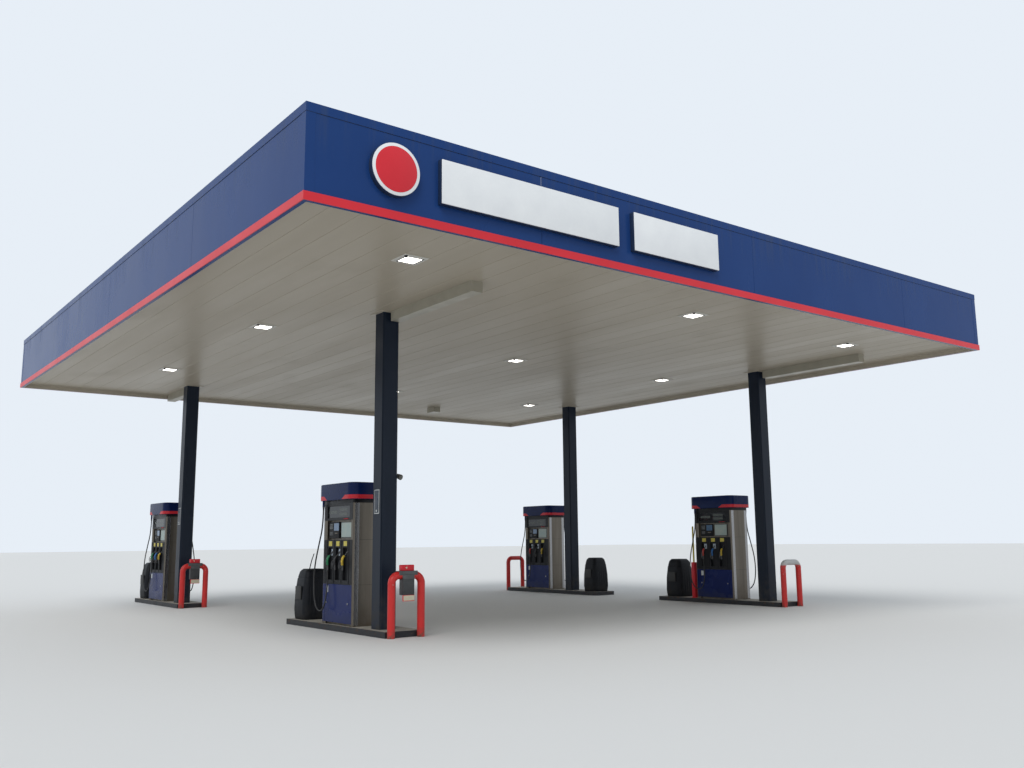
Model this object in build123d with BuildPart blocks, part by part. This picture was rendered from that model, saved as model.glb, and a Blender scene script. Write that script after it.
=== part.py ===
from build123d import *
import math
import os

os.makedirs("parts", exist_ok=True)

# Driving sizes, in millimetres. X runs along the sign fascia, Y runs back from it, and Z is 0 on the ground.

# Roof outline
canopy_width = 15000
canopy_depth = 16000
clear_height = 5300
fascia_height = 1170

# Steel frame
column_size = 305
column_wall = 10
column_corner = 24
stiffener_thickness = 12
stiffener_spacing = 200
left_overhang = 3620
right_overhang = 1160
column_offset = 70
front_left_row = -3420
rear_left_row = 6150
front_right_row = -3300
rear_right_row = 3700
base_plate_size = 460
base_plate_thickness = 25
base_bolt_spacing = 380
base_bolt_radius = 14
cap_plate_thickness = 20
cap_plate_margin = 25
beam_height = 460
beam_flange = 190
beam_flange_thickness = 18
beam_web = 12
purlin_count = 10
purlin_height = 254
purlin_flange = 130
purlin_flange_thickness = 10
purlin_web = 8
purlin_cope_gap = 10
frame_tube = 50
frame_posts_across = 7

# Ceiling
soffit_rise = 100
pan_count = 36
pan_height = 76
pan_sheet = 3
pan_hook = 18
pan_joint = 2
pan_groove = 6
pan_end_gap = 3
deck_cut_gap = 12
trim_sheet = 4
trim_flange = 60
collar_flange = 60
collar_thickness = 12
collar_gap = 3

# Fascia
fascia_sheet = 5
fascia_seam = 6
fascia_panel = 4410
fascia_seam_start = 3430
fascia_last_panel = 1200
coping_height = 105
coping_sheet = 6
band_height = 105
band_projection = 14

# Raised sign on the front fascia: a round plate and two blank cabinets
sign_depth = 90
sign_seat = 0.3
sign_rise = 600
sign_height = 580
sign_cabinets = ((-5720, -2720), (-2420, -600))
plate_place = -6360
plate_radius = 330
plate_sides = 24

# Lights
light_pans = (5, 19, 30)
light_rows = (-6430, -1280, 4030)
light_body = 300
light_body_height = 130
light_flange = 390
light_flange_thickness = 14
light_flange_slope = 10
lens_size = 252
lens_thickness = 10
lens_gap = 1
light_cut_gap = 4

# Drain covers under the ceiling
cover_width = 200
cover_drop = 170
cover_shift = 50
cover_front_inset = 1950
cover_rear_gap = 1
box_length = 360
box_width = 220
box_drop = 140
box_place = (3180, 6060)

# Pump islands
island_height = 100
island_width = 700
island_shift = 60
kerb_sheet = 8
base_pocket_height = 80
base_pocket_gap = 15

# Pipe guards
guard_radius = 62
guard_spread = 550
guard_height = 1040
guard_bend = 130
guard_bend_steps = 3
guard_sides = 12
guard_gap = 0.3

# Boxes on the two left guards
station_width = 340
station_sheet = 6
station_skirt = 60
station_box = (220, 110, 250)
station_top_box = (230, 100, 95)
station_label = (220, 95)

# Dispensers
dispenser_length = 1140
dispenser_width = 600
dispenser_plinth = 40
end_panel = 110
end_corner = 25
end_height = 2080
head_height = 290
head_rim = 40
head_recess = 14
skirt_height = 690
boot_height = 760
boot_depth = 60
boot_recess = 45
boot_width = 180
boot_spacing = 280
boot_sill = 70
boot_opening = 560
door_gap = 4
topper_length = 1300
topper_width = 780
topper_height = 350
topper_corner = 220
topper_corner_steps = 3

# Nozzles hung in the boots
nozzle_thickness = 36
nozzle_tail = 930
nozzle_tail_width = 32
nozzle_stand_off = 30
nozzle_grip = 175
nozzle_lift = 330
spout_thickness = 40
lever_reach = 125

# Hoses: out from the middle of the dispenser, out from its face, and up from the island
hose_diameter = 25
hose_sides = 4
hose_bend_share = 0.45
outlet_radius = 20
outlet_length = 40
hose_route = (
    (500, 345, 2040),
    (500, 345, 1700),
    (560, 395, 1345),
    (630, 430, 990),
    (650, 432, 640),
    (590, 432, 340),
    (430, 430, 205),
    (262, 412, 265),
    (225, 380, 560),
    (280, 346, 790),
    (280, 346, 930),
)

# Litter bins
bin_length = 520
bin_width = 560
bin_height = 920
bin_corner = 90
bin_shape = ((0, 0.94), (0.18, 1.0), (0.5, 0.97), (0.8, 0.86), (0.94, 0.74), (1, 0.58))

# Values that follow from the driving sizes
soffit = clear_height + soffit_rise
pan_top = soffit + pan_height
fascia_top = clear_height + fascia_height
sign_middle = clear_height + sign_rise
frame_inset = fascia_sheet + frame_tube
inner_width = canopy_width - 2 * frame_inset
inner_depth = canopy_depth - 2 * frame_inset
pan_pitch = inner_width / pan_count
purlin_edge = inner_depth / 2 - purlin_flange / 2
purlin_rows = [purlin_edge * (2 * i / (purlin_count - 1) - 1) for i in range(purlin_count)]
cover_front_end = cover_front_inset - canopy_depth / 2
cover_rear_end = inner_depth / 2 - trim_sheet - trim_flange - cover_rear_gap
light_columns = [-inner_width / 2 + pan_pitch * (i + 0.5) for i in light_pans]
left_line = left_overhang - canopy_width / 2
right_line = canopy_width / 2 - right_overhang
columns = {
    "front_left": (left_line + column_offset, front_left_row),
    "rear_left": (left_line - column_offset, rear_left_row),
    "front_right": (right_line - column_offset, front_right_row),
    "rear_right": (right_line + column_offset, rear_right_row),
}


class Island:
    """One island: where its two ends, its dispenser and its bin lie along Y, and which end has the guard."""

    def __init__(self, column, ends, guard_end, dispenser, litter_bin):
        self.x = column[0] + island_shift
        self.low = column[1] + ends[0]
        self.high = column[1] + ends[1]
        self.guard_row = self.high + guard_gap + guard_radius if guard_end > 0 else self.low - guard_gap - guard_radius
        self.dispenser = (self.x, column[1] + dispenser)
        self.bin = (self.x, column[1] + litter_bin)


islands = {
    "front_left": Island(columns["front_left"], (-560, 3150), -1, 1210, 2800),
    "rear_left": Island(columns["rear_left"], (-560, 2850), -1, 1280, 2520),
    "front_right": Island(columns["front_right"], (-560, 3150), -1, 1350, 2750),
    "rear_right": Island(columns["rear_right"], (-1300, 2700), 1, 1300, -950),
}
front_reach = canopy_depth / 2 + max(band_projection, sign_seat + sign_depth)
back_reach = max(canopy_depth / 2 + band_projection, islands["rear_left"].high)
outline_middle = (back_reach - front_reach) / 2


def save(piece, name):
    """Label a finished piece and write it as its own file."""
    piece.part.label = name
    export_step(piece.part.moved(Location((0, -outline_middle, 0))), f"parts/{name}.step")


def side_plane(side, height):
    """A plane on one side of the roof: x along the side, y inwards."""
    places = {
        "front": ((0, -canopy_depth / 2), (1, 0, 0)),
        "right": ((canopy_width / 2, 0), (0, 1, 0)),
        "back": ((0, canopy_depth / 2), (-1, 0, 0)),
        "left": ((-canopy_width / 2, 0), (0, -1, 0)),
    }
    (x, y), along = places[side]
    return Plane(origin=(x, y, height), x_dir=along, z_dir=(0, 0, 1))


def side_length(side):
    return canopy_width if side in ("front", "back") else canopy_depth


def mitred_strip(side, bottom, height, inset, depth):
    """Add a strip along one side, mitred at both corners, into the part being built."""
    outer = side_length(side) / 2 - inset
    inner = outer - depth
    with BuildSketch(side_plane(side, bottom)) as strip:
        Polygon((-outer, inset), (outer, inset), (inner, inset + depth), (-inner, inset + depth), align=None)
    extrude(strip.sketch, amount=height)


def cut_rectangle(width, length, cut):
    """Draw a rectangle with its corners cut off, into the sketch being built."""
    x = width / 2
    y = length / 2
    Polygon(
        (-x, -y + cut), (-x + cut, -y), (x - cut, -y), (x, -y + cut),
        (x, y - cut), (x - cut, y), (-x + cut, y), (-x, y - cut),
        align=None,
    )


def stepped_rectangle(width, length, radius, steps):
    """Draw a rectangle with its corners rounded in short straight steps, into the sketch being built."""
    points = []
    for corner in range(4):
        x = (width / 2 - radius) * (1 if corner in (0, 3) else -1)
        y = (length / 2 - radius) * (1 if corner in (0, 1) else -1)
        for step in range(steps + 1):
            angle = math.radians(90 * (corner + step / steps))
            points.append((x + radius * math.cos(angle), y + radius * math.sin(angle)))
    Polygon(*points, align=None)


sides = ("front", "right", "back", "left")

# Columns: square tubes from a bolted base plate up to a cap plate under the main beam
for name, (x, y) in columns.items():
    with BuildPart() as column:
        with BuildSketch(Plane.XY):
            with Locations((x, y)):
                Rectangle(base_plate_size, base_plate_size)
                with GridLocations(base_bolt_spacing, base_bolt_spacing, 2, 2):
                    Circle(base_bolt_radius, mode=Mode.SUBTRACT)
        extrude(amount=base_plate_thickness)
        with BuildSketch(Plane.XY.offset(base_plate_thickness)):
            with Locations((x, y)):
                cut_rectangle(column_size, column_size, column_corner)
        extrude(amount=pan_top - cap_plate_thickness - base_plate_thickness)
        with BuildSketch(Plane.XY.offset(base_plate_thickness)):
            with Locations((x, y)):
                bore = column_size - 2 * column_wall
                Rectangle(bore, bore)
        extrude(amount=pan_top - cap_plate_thickness - base_plate_thickness, mode=Mode.SUBTRACT)
        with BuildSketch(Plane.XY.offset(pan_top - cap_plate_thickness)):
            with Locations((x, y)):
                Rectangle(column_size + 2 * cap_plate_margin, column_size + 2 * cap_plate_margin)
        extrude(amount=cap_plate_thickness)
    save(column, f"column_{name}")


def i_section(height, flange, flange_thickness, web):
    """Draw an I-section standing on the sketch's origin, into the sketch being built."""
    with Locations((0, flange_thickness / 2), (0, height - flange_thickness / 2)):
        Rectangle(flange, flange_thickness)
    with Locations((0, height / 2)):
        Rectangle(web, height - 2 * flange_thickness)


# Main beams: one over each line of columns, from front to back, with web stiffeners above the columns
for name, line in (("left", left_line), ("right", right_line)):
    with BuildPart() as beam:
        ends = Plane(origin=(line, inner_depth / 2, pan_top), x_dir=(-1, 0, 0), z_dir=(0, 1, 0))
        with BuildSketch(ends):
            i_section(beam_height, beam_flange, beam_flange_thickness, beam_web)
        extrude(amount=-inner_depth)
        with BuildSketch(Plane.XY.offset(pan_top + beam_flange_thickness)):
            for end in ("front", "rear"):
                with Locations((line, columns[f"{end}_{name}"][1])):
                    with GridLocations(0, stiffener_spacing, 1, 2):
                        Rectangle(beam_flange, stiffener_thickness)
        extrude(amount=beam_height - 2 * beam_flange_thickness)
    save(beam, f"main_beam_{name}")

# Purlins: channels framed into the beam webs, in three bays, coped clear of the beams' bottom flanges
bays = {
    "left": (-inner_width / 2, left_line - beam_web / 2),
    "middle": (left_line + beam_web / 2, right_line - beam_web / 2),
    "right": (right_line + beam_web / 2, inner_width / 2),
}
cope_length = (beam_flange - beam_web) / 2 + purlin_cope_gap
cope_height = beam_flange_thickness + purlin_cope_gap
for name, (start, stop) in bays.items():
    copes = []
    if name != "left":
        copes.append(start + cope_length / 2)
    if name != "right":
        copes.append(stop - cope_length / 2)
    with BuildPart() as purlins:
        for row in purlin_rows:
            with BuildSketch(Plane(origin=(start, row, pan_top), x_dir=(0, 1, 0), z_dir=(1, 0, 0))):
                with Locations((0, purlin_height / 2)):
                    Rectangle(purlin_flange, purlin_height)
                with Locations((purlin_web, purlin_height / 2)):
                    hollow = purlin_height - 2 * purlin_flange_thickness
                    Rectangle(purlin_flange, hollow, mode=Mode.SUBTRACT)
            extrude(amount=stop - start)
        with BuildSketch(Plane.XY.offset(pan_top)):
            with Locations(*[(place, row) for place in copes for row in purlin_rows]):
                Rectangle(cope_length, purlin_flange)
        extrude(amount=cope_height, mode=Mode.SUBTRACT)
    save(purlins, f"purlins_{name}")

# Deck pans: long trays side by side under the purlins, both ceiling and rain tray. Each hooks over the next
pan_groups = {
    "left": range(0, pan_count // 3),
    "middle": range(pan_count // 3, 2 * pan_count // 3),
    "right": range(2 * pan_count // 3, pan_count),
}
pan_half = pan_pitch / 2 - pan_joint / 2
pan_length = inner_depth - 2 * pan_end_gap
low_wall = pan_height - pan_sheet - pan_joint
hook_out = pan_half + pan_joint + pan_sheet + pan_joint
pan_fold = pan_groove + pan_sheet * (math.sqrt(2) - 1)
for name, numbers in pan_groups.items():
    with BuildPart() as pans:
        for i in numbers:
            centre = -inner_width / 2 + pan_pitch * (i + 0.5)
            with BuildSketch(Plane(origin=(centre, pan_length / 2, soffit), x_dir=(-1, 0, 0), z_dir=(0, 1, 0))):
                outer = [(pan_half, low_wall), (pan_half, pan_groove), (pan_half - pan_groove, 0)]
                outer += [(pan_groove - pan_half, 0), (-pan_half, pan_groove)]
                inner = [(pan_sheet - pan_half, pan_fold), (pan_fold - pan_half, pan_sheet)]
                inner += [(pan_half - pan_fold, pan_sheet), (pan_half - pan_sheet, pan_fold)]
                inner += [(pan_half - pan_sheet, low_wall)]
                if i < pan_count - 1:
                    hook = [(-pan_half, pan_height - pan_sheet), (-hook_out, pan_height - pan_sheet)]
                    hook += [(-hook_out, pan_height - pan_hook), (-hook_out - pan_sheet, pan_height - pan_hook)]
                    hook += [(-hook_out - pan_sheet, pan_height), (pan_sheet - pan_half, pan_height)]
                else:
                    hook = [(-pan_half, pan_height), (pan_sheet - pan_half, pan_height)]
                Polygon(*outer, *hook, *inner, align=None)
            extrude(amount=-pan_length)
        with BuildSketch(Plane.XY.offset(soffit - pan_sheet)):
            cut = column_size + 2 * (cap_plate_margin + deck_cut_gap)
            with Locations(*columns.values()):
                Rectangle(cut, cut)
            with Locations(*[(x, y) for x in light_columns for y in light_rows]):
                Rectangle(light_body + 2 * light_cut_gap, light_body + 2 * light_cut_gap)
        extrude(amount=pan_height + 2 * pan_sheet, mode=Mode.SUBTRACT)
    save(pans, f"deck_pans_{name}")

# Column collars: square trims that close the ceiling round each column
with BuildPart() as collars:
    with BuildSketch(Plane.XY.offset(soffit - collar_thickness)):
        with Locations(*columns.values()):
            outer = column_size + 2 * collar_flange
            inner = column_size + 2 * collar_gap
            Rectangle(outer, outer)
            Rectangle(inner, inner, mode=Mode.SUBTRACT)
    extrude(amount=collar_thickness)
save(collars, "column_collars")

# Fascia frame: two tube rails and posts behind each side of the fascia
for side in sides:
    with BuildPart() as frame:
        low = clear_height + fascia_sheet
        high = fascia_top - fascia_sheet - frame_tube
        mitred_strip(side, low, frame_tube, fascia_sheet, frame_tube)
        mitred_strip(side, high, frame_tube, fascia_sheet, frame_tube)
        if side in ("front", "back"):
            reach = inner_width - frame_tube
            places = [reach * (i / (frame_posts_across - 1) - 0.5) for i in range(frame_posts_across)]
        else:
            places = purlin_rows
        with BuildSketch(side_plane(side, low + frame_tube)):
            with Locations(*[(place, fascia_sheet + frame_tube / 2) for place in places]):
                Rectangle(frame_tube, frame_tube)
        extrude(amount=high - low - frame_tube)
    save(frame, f"fascia_frame_{side}")

# Fascia: folded sheets with a return at top and bottom, in panels with open seams between them
for side in sides:
    with BuildPart() as fascia:
        mitred_strip(side, clear_height, fascia_height, 0, fascia_sheet)
        mitred_strip(side, clear_height, fascia_sheet, fascia_sheet, frame_tube)
        mitred_strip(side, fascia_top - fascia_sheet, fascia_sheet, fascia_sheet, frame_tube)
        half = side_length(side) / 2
        seams = [fascia_seam_start - half]
        while seams[-1] + fascia_panel < half - fascia_last_panel:
            seams.append(seams[-1] + fascia_panel)
        with BuildSketch(side_plane(side, clear_height)):
            with Locations(*[(place, frame_inset / 2) for place in seams]):
                Rectangle(fascia_seam, 2 * frame_inset)
        extrude(amount=fascia_height, mode=Mode.SUBTRACT)
    save(fascia, f"fascia_{side}")

# Sign: a round plate and two blank cabinets raised on the front fascia
with BuildPart() as sign:
    with BuildSketch(Plane(origin=(0, -canopy_depth / 2 - sign_seat, 0), x_dir=(1, 0, 0), z_dir=(0, -1, 0))):
        with Locations((plate_place, sign_middle)):
            RegularPolygon(plate_radius, plate_sides)
        for start, stop in sign_cabinets:
            with Locations(((start + stop) / 2, sign_middle)):
                Rectangle(stop - start, sign_height)
    extrude(amount=sign_depth)
save(sign, "sign_cabinets")

# Coping: a cap strip folded over the top edge of the fascia
with BuildPart() as coping:
    for side in sides:
        mitred_strip(side, fascia_top - coping_height, coping_height, -coping_sheet, coping_sheet)
        mitred_strip(side, fascia_top, coping_sheet, -coping_sheet, frame_inset + coping_sheet)
save(coping, "coping")

# Band: the raised strip along the bottom edge of the fascia
with BuildPart() as band:
    for side in sides:
        mitred_strip(side, clear_height, band_height, -band_projection, band_projection)
save(band, "red_band")

# Ceiling trim: an angle that turns down from the ceiling to the bottom of the fascia
with BuildPart() as trim:
    for side in sides:
        mitred_strip(side, clear_height, soffit - clear_height, frame_inset, trim_sheet)
        mitred_strip(side, soffit - trim_sheet, trim_sheet, frame_inset + trim_sheet, trim_flange)
save(trim, "ceiling_trim")

# Lights: square housings let into the pans, with a flange below and a lens in the flange
light_places = [(x, y) for x in light_columns for y in light_rows]
with BuildPart() as housings:
    with BuildSketch(Plane.XY.offset(soffit)):
        with Locations(*light_places):
            Rectangle(light_flange, light_flange)
    extrude(amount=-light_flange_thickness)
    rims = housings.faces().sort_by(Axis.Z)[: len(light_places)].edges()
    chamfer(rims, light_flange_slope)
    with BuildSketch(Plane.XY.offset(soffit)):
        with Locations(*light_places):
            Rectangle(light_body, light_body)
    extrude(amount=light_body_height)
    with BuildSketch(Plane.XY.offset(soffit - light_flange_thickness)):
        with Locations(*light_places):
            Rectangle(lens_size + 2 * lens_gap, lens_size + 2 * lens_gap)
    extrude(amount=lens_thickness + lens_gap, mode=Mode.SUBTRACT)
save(housings, "light_housings")

with BuildPart() as lenses:
    with BuildSketch(Plane.XY.offset(soffit - light_flange_thickness + lens_gap)):
        with Locations(*light_places):
            Rectangle(lens_size, lens_size)
    extrude(amount=lens_thickness)
save(lenses, "light_lenses")

# Drain covers: boxes under the ceiling from the columns towards the edges, and a small junction box
with BuildPart() as covers:
    with BuildSketch(Plane.XY.offset(soffit - cover_drop)):
        for x, y in (columns["front_left"], columns["front_right"]):
            start = y - column_size / 2 - collar_flange
            with Locations((x + cover_shift, (start + cover_front_end) / 2)):
                Rectangle(cover_width, start - cover_front_end)
        x, y = columns["rear_left"]
        start = y + column_size / 2 + collar_flange
        with Locations((x + cover_shift, (start + cover_rear_end) / 2)):
            Rectangle(cover_width, cover_rear_end - start)
    extrude(amount=cover_drop)
    with BuildSketch(Plane.XY.offset(soffit - box_drop)):
        with Locations(box_place):
            Rectangle(box_width, box_length)
    extrude(amount=box_drop)
save(covers, "drain_covers")

# Islands: concrete in a steel kerb, with a pocket under it for the column's base plate
for name, (x, y) in columns.items():
    plan = islands[name]
    with BuildPart() as island:
        with BuildSketch(Plane.XY):
            with Locations((plan.x, (plan.low + plan.high) / 2)):
                length = plan.high - plan.low - 2 * kerb_sheet
                Rectangle(island_width - 2 * kerb_sheet, length)
        extrude(amount=island_height)
        with BuildSketch(Plane.XY):
            with Locations((x, y)):
                pocket = base_plate_size + 2 * base_pocket_gap
                Rectangle(pocket, pocket)
        extrude(amount=base_pocket_height, mode=Mode.SUBTRACT)
        with BuildSketch(Plane.XY):
            with Locations((x, y)):
                Rectangle(column_size, column_size)
        extrude(amount=island_height, mode=Mode.SUBTRACT)
    save(island, f"island_{name}")

with BuildPart() as kerbs:
    for sheet, mode in ((0, Mode.ADD), (kerb_sheet, Mode.SUBTRACT)):
        with BuildSketch(Plane.XY):
            for plan in islands.values():
                with Locations((plan.x, (plan.low + plan.high) / 2)):
                    length = plan.high - plan.low - 2 * sheet
                    Rectangle(island_width - 2 * sheet, length)
        extrude(amount=island_height, mode=mode)
save(kerbs, "island_kerbs")

# Guards: one bent pipe at each island's nose, standing on the ground
def bend_points(left, right, row, top):
    """The pipe's middle line: up one leg, over in short straight steps at each bend, and down the other leg."""
    corners = ((left + guard_bend, 180), (right - guard_bend, 90))
    points = [(left, row, 0)]
    for middle, first in corners:
        for step in range(guard_bend_steps + 1):
            angle = math.radians(first - 90 * step / guard_bend_steps)
            x = middle + guard_bend * math.cos(angle)
            points.append((x, row, top - guard_bend + guard_bend * math.sin(angle)))
    return points + [(right, row, 0)]


for name, plan in islands.items():
    left = plan.x - guard_spread / 2
    right = plan.x + guard_spread / 2
    with BuildPart() as guard:
        with BuildLine() as path:
            Polyline(*bend_points(left, right, plan.guard_row, guard_height - guard_radius))
        with BuildSketch(Plane.XY):
            with Locations((left, plan.guard_row)):
                RegularPolygon(guard_radius, guard_sides)
        sweep(path=path.line, transition=Transition.RIGHT)
    save(guard, f"guard_{name}")

# Stations: a saddle over each left guard's rail, with a box on top, a box below and a label plate
with BuildPart() as stations:
    wide, deep, tall = station_box
    top_wide, top_deep, top_tall = station_top_box
    label_wide, label_tall = station_label
    for name in ("front_left", "rear_left"):
        plan = islands[name]
        reach = guard_radius + guard_gap
        saddle_top = guard_height + guard_gap + station_sheet
        rail_under = guard_height - 2 * guard_radius - guard_gap
        side_view = Plane(origin=(plan.x, plan.guard_row, 0), x_dir=(0, 1, 0), z_dir=(1, 0, 0))
        with BuildSketch(side_view):
            with Locations((0, saddle_top)):
                Rectangle(2 * (reach + station_sheet), station_skirt + station_sheet, align=(Align.CENTER, Align.MAX))
                with Locations((0, -station_sheet)):
                    Rectangle(2 * reach, station_skirt, align=(Align.CENTER, Align.MAX), mode=Mode.SUBTRACT)
        extrude(amount=station_width / 2, both=True)
        with BuildSketch(side_view):
            with Locations((-reach - station_sheet / 2, saddle_top - station_sheet)):
                Rectangle(station_sheet, saddle_top - station_sheet - rail_under, align=(Align.CENTER, Align.MAX))
            with Locations((-reach - station_sheet, rail_under)):
                Rectangle(deep, tall, align=(Align.MIN, Align.MAX))
        extrude(amount=wide / 2, both=True)
        with BuildSketch(side_view):
            with Locations((0, saddle_top)):
                Rectangle(top_deep, top_tall, align=(Align.CENTER, Align.MIN))
        extrude(amount=top_wide / 2, both=True)
        with BuildSketch(side_view):
            with Locations((-reach - station_sheet, rail_under - tall)):
                Rectangle(station_sheet, label_tall, align=(Align.MIN, Align.MAX))
        extrude(amount=label_wide / 2, both=True)
save(stations, "guard_stations")

dispenser_places = [plan.dispenser for plan in islands.values()]
faces = (-1, 1)
body_length = dispenser_length - 2 * end_panel
body_width = dispenser_width - 2 * boot_depth


def face_blocks(depth, length, bottom, height, mode=Mode.ADD, shifts=(0,)):
    """Add or cut a block on each face of each dispenser, from the face inwards."""
    with BuildSketch(Plane.XY.offset(island_height + bottom)) as blocks:
        for x, y in dispenser_places:
            for face in faces:
                for shift in shifts:
                    with Locations((x + face * (dispenser_width - depth) / 2, y + shift)):
                        Rectangle(depth, length)
    extrude(blocks.sketch, amount=height, mode=mode)


# Dispenser cabinets: metal bodies between the end panels, on a plinth that stands back
for name, plan in islands.items():
    with BuildPart() as cabinet:
        with BuildSketch(Plane.XY.offset(island_height)):
            with Locations(plan.dispenser):
                Rectangle(body_width, body_length)
        extrude(amount=end_height)
    save(cabinet, f"dispenser_cabinet_{name}")

# End panels: folded stainless covers, one on each end
with BuildPart() as end_panels:
    with BuildSketch(Plane.XY.offset(island_height)):
        for x, y in dispenser_places:
            for end in faces:
                with Locations((x, y + end * (dispenser_length - end_panel) / 2)):
                    cut_rectangle(dispenser_width, end_panel, end_corner)
    extrude(amount=end_height)
save(end_panels, "dispenser_end_panels")

# Skirts: the lower doors
with BuildPart() as skirts:
    face_blocks(boot_depth, body_length - 2 * door_gap, dispenser_plinth, skirt_height - dispenser_plinth - door_gap)
save(skirts, "dispenser_skirts")

# Boots: moulded panels with three hollows on each face, where the nozzles hang
boot_shifts = (-boot_spacing, 0, boot_spacing)
with BuildPart() as boots:
    face_blocks(boot_depth, body_length, skirt_height, boot_height)
    face_blocks(boot_recess, boot_width, skirt_height + boot_sill, boot_opening, Mode.SUBTRACT, shifts=boot_shifts)
save(boots, "nozzle_boots")

# Nozzles: a body with a spout up into the boot and a lever guard outside
with BuildPart() as nozzles:
    hollow = -boot_recess
    tail_out = nozzle_stand_off + nozzle_tail_width
    shoulder = nozzle_grip + spout_thickness
    for x, y in dispenser_places:
        for face in faces:
            for shift in boot_shifts:
                origin = (x + face * dispenser_width / 2, y + shift, island_height + nozzle_tail)
                with BuildSketch(Plane(origin=origin, x_dir=(face, 0, 0), z_dir=(0, -face, 0))):
                    Polygon(
                        (nozzle_stand_off, 0),
                        (tail_out, 0),
                        (lever_reach, nozzle_tail_width),
                        (lever_reach, nozzle_grip - nozzle_tail_width),
                        (tail_out, shoulder),
                        (hollow, nozzle_lift),
                        (hollow, nozzle_lift - spout_thickness),
                        (nozzle_stand_off, nozzle_grip),
                        align=None,
                    )
                extrude(amount=nozzle_thickness / 2, both=True)
save(nozzles, "fuel_nozzles")

# Display heads: dark surrounds with a sunk window
head_bottom = end_height - head_height
with BuildPart() as heads:
    face_blocks(boot_depth, body_length, head_bottom, head_height)
    window = body_length - 2 * head_rim
    face_blocks(head_recess, window, head_bottom + head_rim, head_height - 2 * head_rim, Mode.SUBTRACT)
save(heads, "display_heads")

# Toppers: hoods with rounded ends over the dispensers, with the hoses' outlets below
route_start = hose_route[0]
with BuildPart() as toppers:
    with BuildSketch(Plane.XY.offset(island_height + end_height)):
        with Locations(*dispenser_places):
            stepped_rectangle(topper_width, topper_length, topper_corner, topper_corner_steps)
    extrude(amount=topper_height)
    with BuildSketch(Plane.XY.offset(island_height + end_height)):
        for x, y in dispenser_places:
            for face in faces:
                with Locations((x + face * route_start[1], y - face * route_start[0])):
                    RegularPolygon(outlet_radius, hose_sides)
    extrude(amount=route_start[2] - end_height)
save(toppers, "dispenser_toppers")


def hose_radii(points):
    """Each bend's radius: the largest that its two runs allow."""
    runs = [Vector(b) - Vector(a) for a, b in zip(points, points[1:])]
    radii = []
    for before, after in zip(runs, runs[1:]):
        half_turn = math.radians(before.get_angle(after)) / 2
        radii.append(hose_bend_share * min(before.length, after.length) / math.tan(half_turn))
    return radii


# Hoses: one on each face, hung in a loop from the outlet to an outer nozzle's tail
for name, plan in islands.items():
    x, y = plan.dispenser
    for face in faces:
        points = [(x + face * out, y - face * along, island_height + up) for along, out, up in hose_route]
        radii = hose_radii(points)
        with BuildPart() as hose:
            with BuildLine() as path:
                FilletPolyline(*points, radius=radii)
            with BuildSketch(Plane(origin=points[0], z_dir=(0, 0, -1))):
                RegularPolygon(hose_diameter / 2, hose_sides)
            sweep(path=path.line)
        length = sum(edge.length for edge in path.edges())
        side = "left" if face < 0 else "right"
        save(hose, f"hose_{name}_{side}")
    print("hose", name, "bends", [round(radius) for radius in radii], "length", round(length))

# Litter bins: moulded bodies that bulge and close in to a hood
for name, plan in islands.items():
    with BuildPart() as bin_body:
        for height_share, width_share in bin_shape:
            with BuildSketch(Plane.XY.offset(island_height + bin_height * height_share)):
                with Locations(plan.bin):
                    cut_rectangle(bin_width * width_share, bin_length * width_share, bin_corner)
        loft(ruled=True)
    save(bin_body, f"litter_bin_{name}")
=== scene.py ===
import math

import bmesh
import bpy
from mathutils import Matrix, Vector


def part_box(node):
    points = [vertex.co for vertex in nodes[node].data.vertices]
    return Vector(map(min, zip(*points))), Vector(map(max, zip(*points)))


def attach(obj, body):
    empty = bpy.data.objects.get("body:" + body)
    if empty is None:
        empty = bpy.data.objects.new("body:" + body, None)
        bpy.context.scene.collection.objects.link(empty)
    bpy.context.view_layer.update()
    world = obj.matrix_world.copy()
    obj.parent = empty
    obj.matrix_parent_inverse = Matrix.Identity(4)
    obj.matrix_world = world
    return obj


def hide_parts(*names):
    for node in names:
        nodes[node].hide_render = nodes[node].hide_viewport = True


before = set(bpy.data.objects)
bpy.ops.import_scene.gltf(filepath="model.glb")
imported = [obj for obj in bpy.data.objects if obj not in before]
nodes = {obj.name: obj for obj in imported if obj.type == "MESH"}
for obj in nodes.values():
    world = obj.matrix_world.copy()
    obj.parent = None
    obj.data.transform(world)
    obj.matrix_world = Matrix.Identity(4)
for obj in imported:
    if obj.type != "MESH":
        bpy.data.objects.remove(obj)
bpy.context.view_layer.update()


# View: the eye stands low, off the roof's near corner, and looks up a little under the ceiling.
# Its place and lens were solved from the roof's corners and the columns, for a sensor 36 mm wide.
def put(name, data):
    """Make an object from its data and put it in the scene."""
    made = bpy.data.objects.new(name, data)
    bpy.context.scene.collection.objects.link(made)
    return made


near_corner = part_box("coping")[0]
eye_from_corner = Vector((-4.304, -9.488, 1.509))
eye_heading = 0.6499
eye_lift = 0.1633
eye_roll = -0.0088
focal_pixels = 950.9
picture_width = 1024
sensor_width = 36.0
camera_data = bpy.data.cameras.new("eye")
camera_data.sensor_width = sensor_width
camera_data.lens = focal_pixels / picture_width * sensor_width
camera_data.clip_end = 1000.0
camera = put("eye", camera_data)
bpy.context.scene.camera = camera
eye = Vector((near_corner.x, near_corner.y, 0.0)) + eye_from_corner
turn = Matrix.Rotation(-eye_heading, 4, "Z") @ Matrix.Rotation(math.pi / 2 + eye_lift, 4, "X")
camera.matrix_world = Matrix.Translation(eye) @ turn @ Matrix.Rotation(eye_roll, 4, "Z")
bpy.context.scene.view_settings.view_transform = "Standard"


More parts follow.
